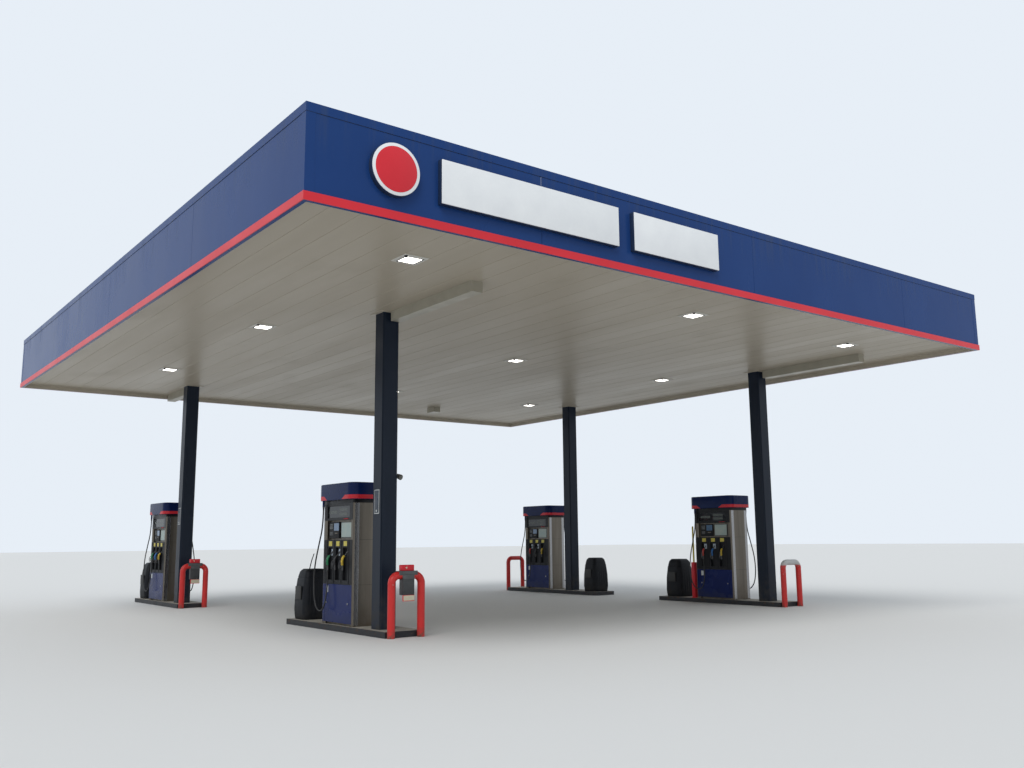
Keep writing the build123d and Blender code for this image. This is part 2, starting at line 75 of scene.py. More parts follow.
# Studio: a wide pale floor under a pale sky, and one broad soft lamp from the left.
# The sky is bright to the camera and in reflections, and dimmer as a light.
def wire(tree, kind, inputs=None, **options):
    """Add a node to a tree. Each input is given by name or number, as a value or as another node's output."""
    made = tree.nodes.new(kind)
    for option, value in options.items():
        setattr(made, option, value)
    for socket, value in (inputs or {}).items():
        if isinstance(value, bpy.types.NodeSocket):
            tree.links.new(value, made.inputs[socket])
        else:
            made.inputs[socket].default_value = value
    return made


def mesh_of(name, points, edges=(), sides=()):
    """A mesh from its points, edges and faces."""
    mesh = bpy.data.meshes.new(name)
    mesh.from_pydata(points, edges, sides)
    return mesh


half_floor = 200.0
floor_colour = (0.66, 0.655, 0.64, 1.0)
sky_seen = (0.80, 0.86, 0.93, 1.0)
sky_light = (0.86, 0.93, 1.0, 1.0)
sky_strength = 0.72
lamp_strength = 1.7
lamp_spread = math.radians(35)
lamp_from = Vector((-0.55, -0.42, 0.75))
floor_material = bpy.data.materials.new("studio_floor")
floor_material.use_nodes = True
floor_shader = floor_material.node_tree.nodes["Principled BSDF"]
floor_shader.inputs["Base Color"].default_value = floor_colour
floor_shader.inputs["Roughness"].default_value = 0.9
floor_corners = [(x * half_floor, y * half_floor, 0) for x, y in ((-1, -1), (1, -1), (1, 1), (-1, 1))]
studio_floor = put("studio_floor", mesh_of("studio_floor", floor_corners, [], [(0, 1, 2, 3)]))
studio_floor.data.materials.append(floor_material)

sky = bpy.data.worlds.new("studio_sky")
sky.use_nodes = True
bpy.context.scene.world = sky
air = sky.node_tree
lit = air.nodes["Background"]
lit.inputs["Color"].default_value = sky_light
lit.inputs["Strength"].default_value = sky_strength
ray = wire(air, "ShaderNodeLightPath").outputs
direct = wire(air, "ShaderNodeMath", {0: ray["Is Camera Ray"], 1: ray["Is Glossy Ray"]}, operation="MAXIMUM")
either = {0: direct.outputs[0], 1: ray["Is Transmission Ray"]}
seen_at_all = wire(air, "ShaderNodeMath", either, operation="MAXIMUM").outputs[0]
seen = wire(air, "ShaderNodeBackground", {"Color": sky_seen, "Strength": 1.0}).outputs[0]
choose = wire(air, "ShaderNodeMixShader", {0: seen_at_all, 1: lit.outputs[0], 2: seen})
air.links.new(choose.outputs[0], air.nodes["World Output"].inputs["Surface"])

lamp_data = bpy.data.lights.new("broad_lamp", "SUN")
lamp_data.energy = lamp_strength
lamp_data.angle = lamp_spread
put("broad_lamp", lamp_data).matrix_world = lamp_from.to_track_quat("Z", "Y").to_matrix().to_4x4()


# Hoses: black rubber, one on each face of each dispenser, hung in a loop from the hood to an outer nozzle.
# Each leaves a short outlet under the hood and ends in the nozzle's swivel, with a tapered sleeve at both.
def finish(name, colour, shade, patch, gloss, relief=0, grain=200, stretch=(1, 1, 1), shine=0.5, metal=0):
    """A surface on Object coordinates: two near colours in patches, an uneven gloss and a fine relief."""
    material = bpy.data.materials.new(name)
    material.use_nodes = True
    tree = material.node_tree
    shader = tree.nodes["Principled BSDF"]
    shader.inputs["Specular IOR Level"].default_value = shine
    shader.inputs["Metallic"].default_value = metal
    place = wire(tree, "ShaderNodeTexCoord").outputs["Object"]
    drawn = wire(tree, "ShaderNodeMapping", {"Vector": place, "Scale": stretch}).outputs[0]
    soft = {"Vector": drawn, "Scale": patch, "Detail": 5.0, "Roughness": 0.6}
    cloud = wire(tree, "ShaderNodeTexNoise", soft).outputs["Fac"]
    spread = wire(tree, "ShaderNodeMapRange", {0: cloud, 1: 0.3, 2: 0.7}).outputs[0]
    tint = wire(tree, "ShaderNodeMix", {0: spread, 6: (*colour, 1.0), 7: (*shade, 1.0)}, data_type="RGBA")
    rough = wire(tree, "ShaderNodeMapRange", {0: spread, 3: gloss[0], 4: gloss[1]})
    tree.links.new(tint.outputs[2], shader.inputs["Base Color"])
    tree.links.new(rough.outputs[0], shader.inputs["Roughness"])
    if relief:
        fine = wire(tree, "ShaderNodeTexNoise", {"Vector": drawn, "Scale": grain, "Detail": 3.0})
        raised = {"Height": fine.outputs["Fac"], "Distance": relief, "Strength": 0.6}
        bump = wire(tree, "ShaderNodeBump", raised)
        tree.links.new(bump.outputs[0], shader.inputs["Normal"])
    return material


def stacked(shape, rings):
    """Close a stack of rings with the same number of points into one skin."""
    made = [[shape.verts.new(point) for point in ring] for ring in rings]
    for low, high in zip(made, made[1:]):
        for i in range(len(low)):
            after = (i + 1) % len(low)
            shape.faces.new((low[i], low[after], high[after], high[i]))
    shape.faces.new(made[0][::-1])
    shape.faces.new(made[-1])


def tube(shape, path, radii, sides=16):
    """Add a closed round bar to a mesh in the making, along a path, with a radius at each of its points."""
    path = [Vector(point) for point in path]
    side = (path[1] - path[0]).orthogonal()
    angles = [2 * math.pi * step / sides for step in range(sides)]
    rings = []
    for i, point in enumerate(path):
        ahead = (path[min(i + 1, len(path) - 1)] - path[max(i - 1, 0)]).normalized()
        side = (side - ahead * side.dot(ahead)).normalized()
        across = ahead.cross(side)
        rings.append([point + radii[i] * (side * math.cos(a) + across * math.sin(a)) for a in angles])
    stacked(shape, rings)


def spindle(shape, steps, sides=16, start=(0, 0, 0), way=(0, 0, 1)):
    """Add a turned bar. Each step gives how far along the way it lies, and its radius there."""
    path = [Vector(start) + Vector(way) * far for far, _ in steps]
    tube(shape, path, [reach for _, reach in steps], sides)


def ease(mesh):
    """Shade a mesh smooth but for its sharp edges."""
    mesh.shade_smooth()
    mesh.set_sharp_from_angle(angle=math.radians(32))


def part(name, shape, *materials):
    """Turn a mesh in the making into an object with its materials."""
    mesh = bpy.data.meshes.new(name)
    shape.to_mesh(mesh)
    shape.free()
    ease(mesh)
    for material in materials:
        mesh.materials.append(material)
    return put(name, mesh)


def fix(piece, slot, *stands_for):
    """Fix a finished piece to the canopy and hide the nodes that it stands for. Its record slot is not used.
    """
    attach(piece, "root")
    if stands_for:
        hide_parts(*stands_for)
    return piece


def middle(node):
    """The middle of a node's box."""
    low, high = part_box(node)
    return (low + high) / 2


corners = ("front_left", "rear_left", "front_right", "rear_right")
faces = (-1, 1)
face_names = {-1: "left", 1: "right"}
island_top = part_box("island_front_left")[1].z
dispensers = {name: middle(f"dispenser_cabinet_{name}") for name in corners}


def at_face(name, face, along, out, up):
    """A point by one face of a dispenser: along it from its middle, out from it and up from the island."""
    centre = dispensers[name]
    return Vector((centre.x + face * out, centre.y - face * along, island_top + up))


hose_diameter = 0.025
hose_route = (
    (0.500, 0.345, 2.040),
    (0.500, 0.345, 1.700),
    (0.560, 0.395, 1.345),
    (0.630, 0.430, 0.990),
    (0.650, 0.432, 0.640),
    (0.590, 0.432, 0.340),
    (0.430, 0.430, 0.205),
    (0.262, 0.412, 0.265),
    (0.225, 0.380, 0.560),
    (0.280, 0.346, 0.790),
    (0.280, 0.346, 0.930),
)
top_sleeve = ((0, 0.0185), (0.012, 0.0185), (0.015, 0.0165), (0.055, 0.0135))
swivel_sleeve = ((0, 0.0175), (0.030, 0.0175), (0.034, 0.0155), (0.070, 0.0132))
rubber = finish("hose_rubber", (0.012, 0.012, 0.013), (0.024, 0.023, 0.022), 9, (0.42, 0.62), 0.0006, 350)
for name in corners:
    for face in faces:
        which = f"{name}_{face_names[face]}"
        route = [at_face(name, face, *point) for point in hose_route]
        curve = bpy.data.curves.new(f"hose_line_{which}", "CURVE")
        curve.dimensions = "3D"
        curve.bevel_depth = hose_diameter / 2
        curve.bevel_resolution = 4
        curve.resolution_u = 10
        curve.use_fill_caps = True
        spline = curve.splines.new("NURBS")
        spline.points.add(len(route) - 1)
        for point, place in zip(spline.points, route):
            point.co = (*place, 1.0)
        spline.order_u = 3
        spline.use_endpoint_u = True
        curve.materials.append(rubber)
        hose = fix(put(f"hose_line_{which}", curve), "hose_rubber", f"hose_{which}")
        shape = bmesh.new()
        for end, sleeve in ((route[0], top_sleeve), (route[-1], swivel_sleeve)):
            spindle(shape, sleeve, 16, end, (0, 0, -1))
        sleeves = fix(part(f"hose_sleeves_{which}", shape, rubber), "hose_rubber")


# Columns: square steel tubes with rounded corners, painted a blue near to black, dusty at the foot.
# Two of them carry a small framed plate, and the nearest one a little watch lamp on its far side.
def masked(material, mask, colour, rough):
    """Lay a second colour and gloss over a finish, where the mask is 1."""
    tree = material.node_tree
    shader = tree.nodes["Principled BSDF"]
    below = shader.inputs["Base Color"].links[0].from_socket
    tint = wire(tree, "ShaderNodeMix", {0: mask, 6: below, 7: (*colour, 1.0)}, data_type="RGBA")
    under = shader.inputs["Roughness"].links[0].from_socket
    gloss = wire(tree, "ShaderNodeMix", {0: mask, 2: under, 3: rough})
    tree.links.new(tint.outputs[2], shader.inputs["Base Color"])
    tree.links.new(gloss.outputs[0], shader.inputs["Roughness"])


def weather(material, clean, full, colour, rough, scale, stretch=(1, 1, 1), sharp=(0.35, 0.75)):
    """Lay dirt or wear over a finish. It grows from the clean height to the full one, broken up by noise."""
    tree = material.node_tree
    place = wire(tree, "ShaderNodeTexCoord").outputs["Object"]
    height = wire(tree, "ShaderNodeSeparateXYZ", {0: place}).outputs["Z"]
    ramp = wire(tree, "ShaderNodeMapRange", {0: height, 1: clean, 2: full}).outputs[0]
    drawn = wire(tree, "ShaderNodeMapping", {"Vector": place, "Scale": stretch}).outputs[0]
    cloud = wire(tree, "ShaderNodeTexNoise", {"Vector": drawn, "Scale": scale, "Detail": 6.0}).outputs["Fac"]
    broken = wire(tree, "ShaderNodeMapRange", {0: cloud, 1: sharp[0], 2: sharp[1]}).outputs[0]
    mask = wire(tree, "ShaderNodeMath", {0: ramp, 1: broken}, operation="MULTIPLY").outputs[0]
    masked(material, mask, colour, rough)


def block(shape, start, stop, edge=0.002, steps=2):
    """Add a box with eased edges to a mesh in the making, between two opposite corners."""
    low, high = Vector(map(min, start, stop)), Vector(map(max, start, stop))
    verts = bmesh.ops.create_cube(shape, size=1.0)["verts"]
    for vert in verts:
        vert.co = (low + high) / 2 + vert.co * (high - low)
    edges = list(dict.fromkeys(line for vert in verts for line in vert.link_edges))
    if edge:
        bmesh.ops.bevel(shape, geom=edges, offset=edge, segments=steps, profile=0.5, affect="EDGES")


def clothe(material, *names):
    """Give CAD nodes a better material."""
    for name in names:
        nodes[name].data.materials.clear()
        nodes[name].data.materials.append(material)


blue_black = ((0.007, 0.013, 0.026), (0.012, 0.019, 0.034))
column_paint = finish("column_paint", *blue_black, 3.0, (0.28, 0.42), 0.0012, 60, (1, 1, 0.2), shine=0.18)
weather(column_paint, 0.75, 0.1, (0.06, 0.055, 0.048), 0.8, 7.0)
clothe(column_paint, *[f"column_{name}" for name in corners])
plate_white = finish("plate_white", (0.62, 0.64, 0.63), (0.5, 0.52, 0.51), 12, (0.3, 0.45), 0.0004)
plate_dark = finish("plate_dark", (0.022, 0.034, 0.055), (0.035, 0.05, 0.075), 14, (0.25, 0.4), 0.0004)
column_half = 0.305 / 2
plate_half = 0.165 / 2
plate_bottom = 1.97
plate_height = 0.40
plate_sheet = 0.006
rim = Vector((0, 0.014, 0.014))
frames, plates = bmesh.new(), bmesh.new()
for name in ("front_left", "rear_left"):
    column = middle(f"column_{name}")
    face_x = column.x - column_half
    low = Vector((face_x - plate_sheet, column.y - plate_half, plate_bottom))
    high = Vector((face_x, column.y + plate_half, plate_bottom + plate_height))
    block(frames, low, high)
    block(plates, low + rim - Vector((0.002, 0, 0)), high - rim - Vector((0.004, 0, 0)), 0.0008)
    dot = (face_x, column.y, plate_bottom + 0.05)
    spindle(frames, ((-0.0095, 0.019), (-0.005, 0.019)), 24, dot, (1, 0, 0))
fix(part("plate_frames", frames, plate_white), "sign_white")
fix(part("column_plates", plates, plate_dark), "column_paint")

column = middle("column_front_left")
lamp_foot = Vector((column.x + column_half, column.y - 0.02, 2.60))
lamp_head = lamp_foot + Vector((0.075, 0, 0.008))
lamp_aim = (0.03, -0.07, -0.03)
lamp_steps = ((-0.6, 0.018), (-0.5, 0.03), (0.2, 0.042), (0.9, 0.048), (1.0, 0.043))
lamp_shape = bmesh.new()
block(lamp_shape, lamp_foot - Vector((0, 0.035, 0.03)), lamp_foot + Vector((0.012, 0.035, 0.07)))
spindle(lamp_shape, ((0.01, 0.011), (0.06, 0.011)), 12, lamp_foot, (1, 0, 0))
spindle(lamp_shape, lamp_steps, 20, lamp_head, lamp_aim)
lamp_metal = finish("lamp_metal", (0.16, 0.155, 0.14), (0.10, 0.10, 0.09), 30, (0.4, 0.6), 0.0004)
fix(part("column_lamp", lamp_shape, lamp_metal), "galvanised_steel")


# Roof steel: two main beams on the columns and ten lines of channel purlins framed into their webs.
# All are hot-dip galvanised, so they show a dull crystal pattern, and each purlin is bolted to end cleats.
def galvanised(name, light, dark):
    """Hot-dip zinc: crystals a few centimetres wide, each a little lighter or duller than the next."""
    zinc = finish(name, light, dark, 2.0, (0.42, 0.6), 0.0004, 120, metal=0.75)
    tree = zinc.node_tree
    place = wire(tree, "ShaderNodeTexCoord").outputs["Object"]
    crystal = wire(tree, "ShaderNodeTexVoronoi", {"Vector": place, "Scale": 38.0}).outputs["Color"]
    shade = wire(tree, "ShaderNodeSeparateColor", {0: crystal}).outputs[0]
    masked(zinc, wire(tree, "ShaderNodeMapRange", {0: shade, 4: 0.45}).outputs[0], dark, 0.35)
    return zinc


def new_tree(name, *inputs):
    """A tree that takes a shape, the inputs named and a material. What it is given comes back with it."""
    tree = bpy.data.node_groups.new(name, "GeometryNodeTree")
    for socket, kind in (("Geometry", "Geometry"), *inputs, ("Material", "Material")):
        tree.interface.new_socket(socket, in_out="INPUT", socket_type="NodeSocket" + kind)
    tree.interface.new_socket("Geometry", in_out="OUTPUT", socket_type="NodeSocketGeometry")
    return tree, wire(tree, "NodeGroupInput").outputs


def end_tree(tree, shape, given):
    """End a tree: what it made becomes plain mesh in the given material."""
    real = wire(tree, "GeometryNodeRealizeInstances", {0: shape}).outputs[0]
    coated = wire(tree, "GeometryNodeSetMaterial", {0: real, "Material": given["Material"]}).outputs[0]
    wire(tree, "NodeGroupOutput", {0: coated})
    return tree


def in_place_tree(name):
    """A tree that sets a copy of one shape on each point, turned by the points' own angles."""
    tree, given = new_tree(name, ("Shape", "Object"), ("Size", "Float"))
    shape = wire(tree, "GeometryNodeObjectInfo", {"Object": given["Shape"]}).outputs["Geometry"]
    angles = wire(tree, "GeometryNodeInputNamedAttribute", {"Name": "angles"}, data_type="FLOAT_VECTOR")
    turned = wire(tree, "FunctionNodeEulerToRotation", {0: angles.outputs[0]}).outputs[0]
    how = {"Points": given["Geometry"], "Instance": shape, "Rotation": turned, "Scale": given["Size"]}
    return end_tree(tree, wire(tree, "GeometryNodeInstanceOnPoints", how).outputs[0], given)


def grow(piece, tree, **values):
    """Run a tree on a piece with its inputs set by name, and keep the result as the piece's plain mesh."""
    modifier = piece.modifiers.new(tree.name, "NODES")
    modifier.node_group = tree
    for item in tree.interface.items_tree:
        if item.in_out == "INPUT" and item.name.replace(" ", "_") in values:
            modifier[item.identifier] = values[item.name.replace(" ", "_")]
    evaluated = piece.evaluated_get(bpy.context.evaluated_depsgraph_get())
    mesh = bpy.data.meshes.new_from_object(evaluated)
    piece.modifiers.clear()
    piece.data = mesh
    ease(mesh)
    return piece


in_place = in_place_tree("set_in_place")


def copies(name, shape, places, material, angles=(0, 0, 0)):
    """Set a copy of a shape at each place. A place is a point, or a point with its own angles."""
    sample = part(name + "_sample", shape)
    places = [place if isinstance(place[0], Vector) else (Vector(place), angles) for place in places]
    mesh = mesh_of(name, [point for point, _ in places])
    turned = mesh.attributes.new("angles", "FLOAT_VECTOR", "POINT")
    for mark, (_, own) in zip(turned.data, places):
        mark.vector = own
    piece = grow(put(name, mesh), in_place, Shape=sample, Size=1.0, Material=material)
    bpy.data.objects.remove(sample)
    return piece


sides = ("front", "right", "back", "left")
bays = ("left", "middle", "right")
beam_zinc = galvanised("beam_zinc", (0.40, 0.41, 0.43), (0.27, 0.28, 0.30))
clothe(beam_zinc, "main_beam_left", "main_beam_right", *[f"purlins_{bay}" for bay in bays])
clothe(beam_zinc, *[f"fascia_frame_{side}" for side in sides])
purlin_count = 10
purlin_low, purlin_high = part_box("purlins_middle")
flange_half = 0.065
purlin_span = purlin_high.y - purlin_low.y - 2 * flange_half
purlin_rows = [purlin_low.y + flange_half + purlin_span * i / (purlin_count - 1) for i in range(purlin_count)]
bolt = bmesh.new()
spindle(bolt, ((0, 0.019), (0.003, 0.019)))
spindle(bolt, ((0.003, 0.0145), (0.014, 0.0145), (0.016, 0.0125)), 6)
bolt_in = 0.07
bolt_heights = [purlin_low.z + rise for rise in (0.085, 0.17)]
bay_ends = [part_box("purlins_left")[1].x - bolt_in, purlin_low.x + bolt_in]
bay_ends += [purlin_high.x - bolt_in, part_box("purlins_right")[0].x + bolt_in]
bolt_places = [(x, row - flange_half, z) for x in bay_ends for row in purlin_rows for z in bolt_heights]
fix(copies("purlin_bolts", bolt, bolt_places, beam_zinc, (math.pi / 2, 0, 0)), "galvanised_steel")

# Ceiling: long steel pans hung side by side under the purlins, roll-formed and enamelled a warm grey.
# Clips screwed to the purlins' flanges hold the pans' standing edges, and trims close the walls and columns.
warm_grey = ((0.395, 0.350, 0.280), (0.372, 0.328, 0.260))
ceiling_enamel = finish("ceiling_enamel", *warm_grey, 1.2, (0.30, 0.42), 0.0005, 25, (1, 0.12, 1), shine=0.15)
weather(ceiling_enamel, 5.0, 5.3, (0.27, 0.23, 0.17), 0.5, 0.9, (1, 0.5, 1), (0.60, 1.1))
trim_enamel = finish("trim_enamel", (0.46, 0.41, 0.33), (0.40, 0.355, 0.285), 4, (0.3, 0.45), 0.0004)
clothe(ceiling_enamel, *[f"deck_pans_{bay}" for bay in bays])
clothe(trim_enamel, "ceiling_trim", "column_collars")
pan_count = 36
pan_low, pan_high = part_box("deck_pans_left")[0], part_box("deck_pans_right")[1]
pan_pitch = (pan_high.x - pan_low.x) / pan_count
clip = bmesh.new()
block(clip, (-0.02, -0.035, -0.010), (0.02, 0.012, -0.007), 0.001, 1)
block(clip, (-0.02, 0.008, -0.010), (0.02, 0.012, 0.012), 0.001, 1)
spindle(clip, ((-0.010, 0.007), (-0.001, 0.007), (0.001, 0.005)), 6, (0, -0.018, 0))
clip_rows = [row + flange_half + 0.012 for row in purlin_rows[:-1]]
clip_lines = [pan_low.x + pan_pitch * i for i in range(1, pan_count)]
clip_places = [(x, row, pan_high.z + 0.02) for x in clip_lines for row in clip_rows]
fix(copies("pan_clips", clip, clip_places, beam_zinc), "galvanised_steel")


# Fascia: folded sheet panels on the tube frame, enamelled deep navy, with a cap strip folded over the top and
# a raised red strip at the bottom. Screws hold the cap strip, and a folded cover closes each corner.
def run_tree(name):
    """A tree that sets screws along the edges that it is given, their heads facing outwards."""
    tree, given = new_tree(name, ("Spacing", "Float"), ("Head Radius", "Float"), ("Head Height", "Float"))
    lines = wire(tree, "GeometryNodeMeshToCurve", {0: given["Geometry"]}).outputs[0]
    spaced = {0: lines, "Length": given["Spacing"]}
    points = wire(tree, "GeometryNodeCurveToPoints", spaced, mode="LENGTH").outputs
    along_and_up = {0: points["Tangent"], 1: (0, 0, 1)}
    out = wire(tree, "ShaderNodeVectorMath", along_and_up, operation="CROSS_PRODUCT").outputs[0]
    facing = wire(tree, "FunctionNodeAlignRotationToVector", {"Vector": out}, axis="Z").outputs[0]
    size = {"Radius Top": 0.0035, "Radius Bottom": given["Head Radius"], "Depth": given["Head Height"]}
    head = wire(tree, "GeometryNodeMeshCone", {"Vertices": 8, **size}).outputs[0]
    how = {"Points": points[0], "Instance": head, "Rotation": facing}
    return end_tree(tree, wire(tree, "GeometryNodeInstanceOnPoints", how).outputs[0], given)


def rows(name, lines, tree, **values):
    """Make a piece from straight lines, each given by its two ends, and run a tree on it."""
    edges = [(2 * i, 2 * i + 1) for i in range(len(lines))]
    return grow(put(name, mesh_of(name, [end for line in lines for end in line], edges)), tree, **values)


fascia_low, fascia_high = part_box("fascia_front")[0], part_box("fascia_back")[1]


def roof_edges(out, height, gap):
    """The four sides of the roof as lines, counter-clockwise, a given way outside the fascia's face."""
    left, right = fascia_low.x - out, fascia_high.x + out
    front, back = fascia_low.y - out, fascia_high.y + out
    ends = (
        ((left + gap, front), (right - gap, front)),
        ((right, front + gap), (right, back - gap)),
        ((right - gap, back), (left + gap, back)),
        ((left, back - gap), (left, front + gap)),
    )
    return [((*start, height), (*stop, height)) for start, stop in ends]


deep_navy = ((0.012, 0.043, 0.160), (0.016, 0.051, 0.178))
fascia_navy = finish("fascia_navy", *deep_navy, 0.7, (0.2, 0.3), 0.012, 0.9, (1, 1, 0.6), shine=0.1)
weather(fascia_navy, 5.8, 6.42, (0.035, 0.06, 0.14), 0.42, 9.0, (1, 1, 0.06), (0.5, 0.85))
signal_red = ((0.66, 0.022, 0.036), (0.59, 0.020, 0.031))
trim_red = finish("trim_red", *signal_red, 1.2, (0.28, 0.38), 0.0006, 30, shine=0.3)
clothe(fascia_navy, "coping", *[f"fascia_{side}" for side in sides])
clothe(trim_red, "red_band")
fascia_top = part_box("fascia_front")[1].z
fascia_bottom = fascia_low.z
screws = run_tree("screws_in_rows")
screw_out = 0.005
screw_drop = 0.085
screw_in_from_corner = 0.18
coping_rows = roof_edges(screw_out, fascia_top - screw_drop, screw_in_from_corner)
coping_head = {"Spacing": 0.6, "Head_Radius": 0.0065, "Head_Height": 0.004}
fix(rows("coping_screws", coping_rows, screws, Material=fascia_navy, **coping_head), "fascia_navy")
strip_tall = 0.105
corner_low, corner_high = fascia_bottom + strip_tall + 0.001, fascia_top - strip_tall - 0.001
corner_reach = 0.12
corner_sheet = 0.0025
corner_shape = bmesh.new()
for x, to_x in ((fascia_low.x, 1), (fascia_high.x, -1)):
    for y, to_y in ((fascia_low.y, 1), (fascia_high.y, -1)):
        out_x, out_y = x - to_x * corner_sheet, y - to_y * corner_sheet
        block(corner_shape, (out_x, out_y, corner_low), (x + to_x * corner_reach, y, corner_high), 0.0006, 1)
        block(corner_shape, (out_x, y, corner_low), (x, y + to_y * corner_reach, corner_high), 0.0006, 1)
fix(part("fascia_corners", corner_shape, fascia_navy), "fascia_navy")
# Black strips under the cap strip and along the red strip's top are painted shadow lines in the reveals.
reveal_shadow_half = 0.0025
upper_reveal_shadow, lower_reveal_shadow = fascia_top - strip_tall - 0.0005, fascia_bottom + strip_tall + 0.0015
reveal_shadow_shape = bmesh.new()
for out, height in ((0.004, upper_reveal_shadow), (0, lower_reveal_shadow)):
    reach = Vector((out, out, reveal_shadow_half))
    for ends in roof_edges(0.0, height, 0.0):
        block(reveal_shadow_shape, Vector(map(min, *ends)) - reach, Vector(map(max, *ends)) + reach, 0.001, 1)
seal_black = finish("seal_black", (0.008, 0.009, 0.012), (0.014, 0.015, 0.018), 20, (0.5, 0.7), 0.0004)
fix(part("fascia_seals", reveal_shadow_shape, seal_black), "fascia_navy")


# Sign: two blank cabinets with white acrylic faces and navy folded returns, and a round red plate in a white
# rim. Each stands on the front fascia on hidden studs. The faces are bare and held by a thin trim cap.
def disc(shape, radius, back, front, edge):
    """Add a round plate that faces -Y, with an eased front edge."""
    eased = edge * 0.3
    steps = ((back, radius), (front + edge, radius), (front + eased, radius - eased), (front, radius - edge))
    spindle(shape, steps, 96, plate_centre, (0, 1, 0))


sign_low, sign_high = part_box("sign_cabinets")
sign_return = 0.012
sign_centre = (sign_low.z + sign_high.z) / 2
cabinet_half = 0.29
cabinet_ends = ((-5.72, -2.72), (-2.42, -0.60))
cap = 0.004
plate_radius = 0.33
plate_rim = 0.045
plate_centre = Vector((sign_low.x + plate_radius, 0, sign_centre))
sign_white = finish("sign_white", (0.80, 0.81, 0.81), (0.74, 0.75, 0.76), 2.5, (0.28, 0.4), 0.0004)
sign_navy = finish("sign_navy", (0.014, 0.026, 0.060), (0.02, 0.034, 0.072), 6, (0.3, 0.45), 0.0004)
returns, whites, reds = bmesh.new(), bmesh.new(), bmesh.new()
for start, stop in cabinet_ends:
    low = Vector((start, sign_low.y + sign_return, sign_centre - cabinet_half))
    high = Vector((stop, sign_high.y, sign_centre + cabinet_half))
    block(returns, low, high, 0.004)
    face_high = (high.x - cap, low.y + 0.002, high.z - cap)
    block(whites, (low.x + cap, sign_low.y, low.z + cap), face_high, 0.006, 3)
disc(returns, plate_radius, sign_high.y, sign_low.y + sign_return, 0.004)
disc(whites, plate_radius - cap, sign_low.y + 0.014, sign_low.y + 0.004, 0.004)
disc(reds, plate_radius - plate_rim, sign_low.y + 0.006, sign_low.y, 0.003)
fix(part("sign_returns", returns, sign_navy), "fascia_navy", "sign_cabinets")
fix(part("sign_faces", whites, sign_white), "sign_white", "sign_cabinets")
fix(part("sign_round_plate", reds, trim_red), "trim_red", "sign_cabinets")

# Lights: square cast housings let into the ceiling, enamelled white, each with a prismatic lens in a dark
# gasket. A small dark sensor hangs at one corner of each, and four screws hold the flange.
light_white = finish("light_white", (0.58, 0.565, 0.52), (0.5, 0.49, 0.45), 8, (0.3, 0.45), 0.0004)
clothe(light_white, "light_housings")
lens_glow = finish("lens_glow", (0.86, 0.86, 0.82), (0.8, 0.8, 0.76), 30, (0.2, 0.3))
lens_tree = lens_glow.node_tree
lens_place = wire(lens_tree, "ShaderNodeTexCoord").outputs["Object"]
prisms = wire(lens_tree, "ShaderNodeTexVoronoi", {"Vector": lens_place, "Scale": 45.0}, distance="CHEBYCHEV")
depth = prisms.outputs["Distance"]
lens_bump = wire(lens_tree, "ShaderNodeBump", {"Height": depth, "Distance": 0.004})
lens_light = wire(lens_tree, "ShaderNodeMapRange", {0: depth, 2: 0.7, 3: 7.0, 4: 3.5})
lens_shader = lens_tree.nodes["Principled BSDF"]
lens_tree.links.new(lens_bump.outputs[0], lens_shader.inputs["Normal"])
lens_tree.links.new(lens_light.outputs[0], lens_shader.inputs["Emission Strength"])
lens_shader.inputs["Emission Color"].default_value = (1.0, 0.96, 0.88, 1.0)
clothe(lens_glow, "light_lenses")
light_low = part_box("light_housings")[0]
light_half = 0.39 / 2
lens_half = 0.128
light_columns = [pan_low.x + pan_pitch * (i + 0.5) for i in (5, 19, 30)]
light_rows = [light_low.y + light_half + shift for shift in (0, 5.15, 10.46)]
light_places = [(x, y, light_low.z) for x in light_columns for y in light_rows]
gasket_half = 0.009
gasket_line = lens_half + gasket_half
gasket = bmesh.new()
for wide, long in ((1, 0), (0, 1)):
    for way in faces:
        centre = Vector((wide * way * gasket_line, long * way * gasket_line, 0))
        reach = Vector((gasket_half + long * gasket_line, gasket_half + wide * gasket_line, 0.0025))
        block(gasket, centre - reach, centre + reach, 0.001, 1)
gasket_black = finish("gasket_black", (0.018, 0.018, 0.018), (0.03, 0.03, 0.029), 40, (0.5, 0.7), 0.0004)
fix(copies("light_gaskets", gasket, light_places, gasket_black), "dispenser_black")
sensor = bmesh.new()
spindle(sensor, ((0.002, 0.026), (-0.012, 0.026), (-0.024, 0.020), (-0.030, 0.008)), 20)
sensor_in = light_half - 0.032
sensor_places = [(x - sensor_in, y - sensor_in, z) for x, y, z in light_places]
fix(copies("light_sensors", sensor, sensor_places, gasket_black), "dispenser_black")
light_screw = bmesh.new()
spindle(light_screw, ((0.001, 0.006), (-0.0025, 0.006), (-0.004, 0.003)), 10)
screw_in = light_half - 0.022
screw_shifts = [(i * screw_in, j * 0.12) for i in faces for j in faces]
screw_places = [(x + across, y + along, z) for x, y, z in light_places for across, along in screw_shifts]
fix(copies("light_screws", light_screw, screw_places, beam_zinc), "galvanised_steel")


# Drain covers: folded boxes under the ceiling, which hide the rain pipes that run in to the columns.
# They are enamelled like the ceiling, a little darker, with lap joints and screws along both lower edges.
def bar(shape, x, half, deep, tall, edge=0.002, steps=2):
    """Add a box by its middle and half width across, and by its two ends in depth and in height."""
    block(shape, (x - half, deep[0], tall[0]), (x + half, deep[1], tall[1]), edge, steps)


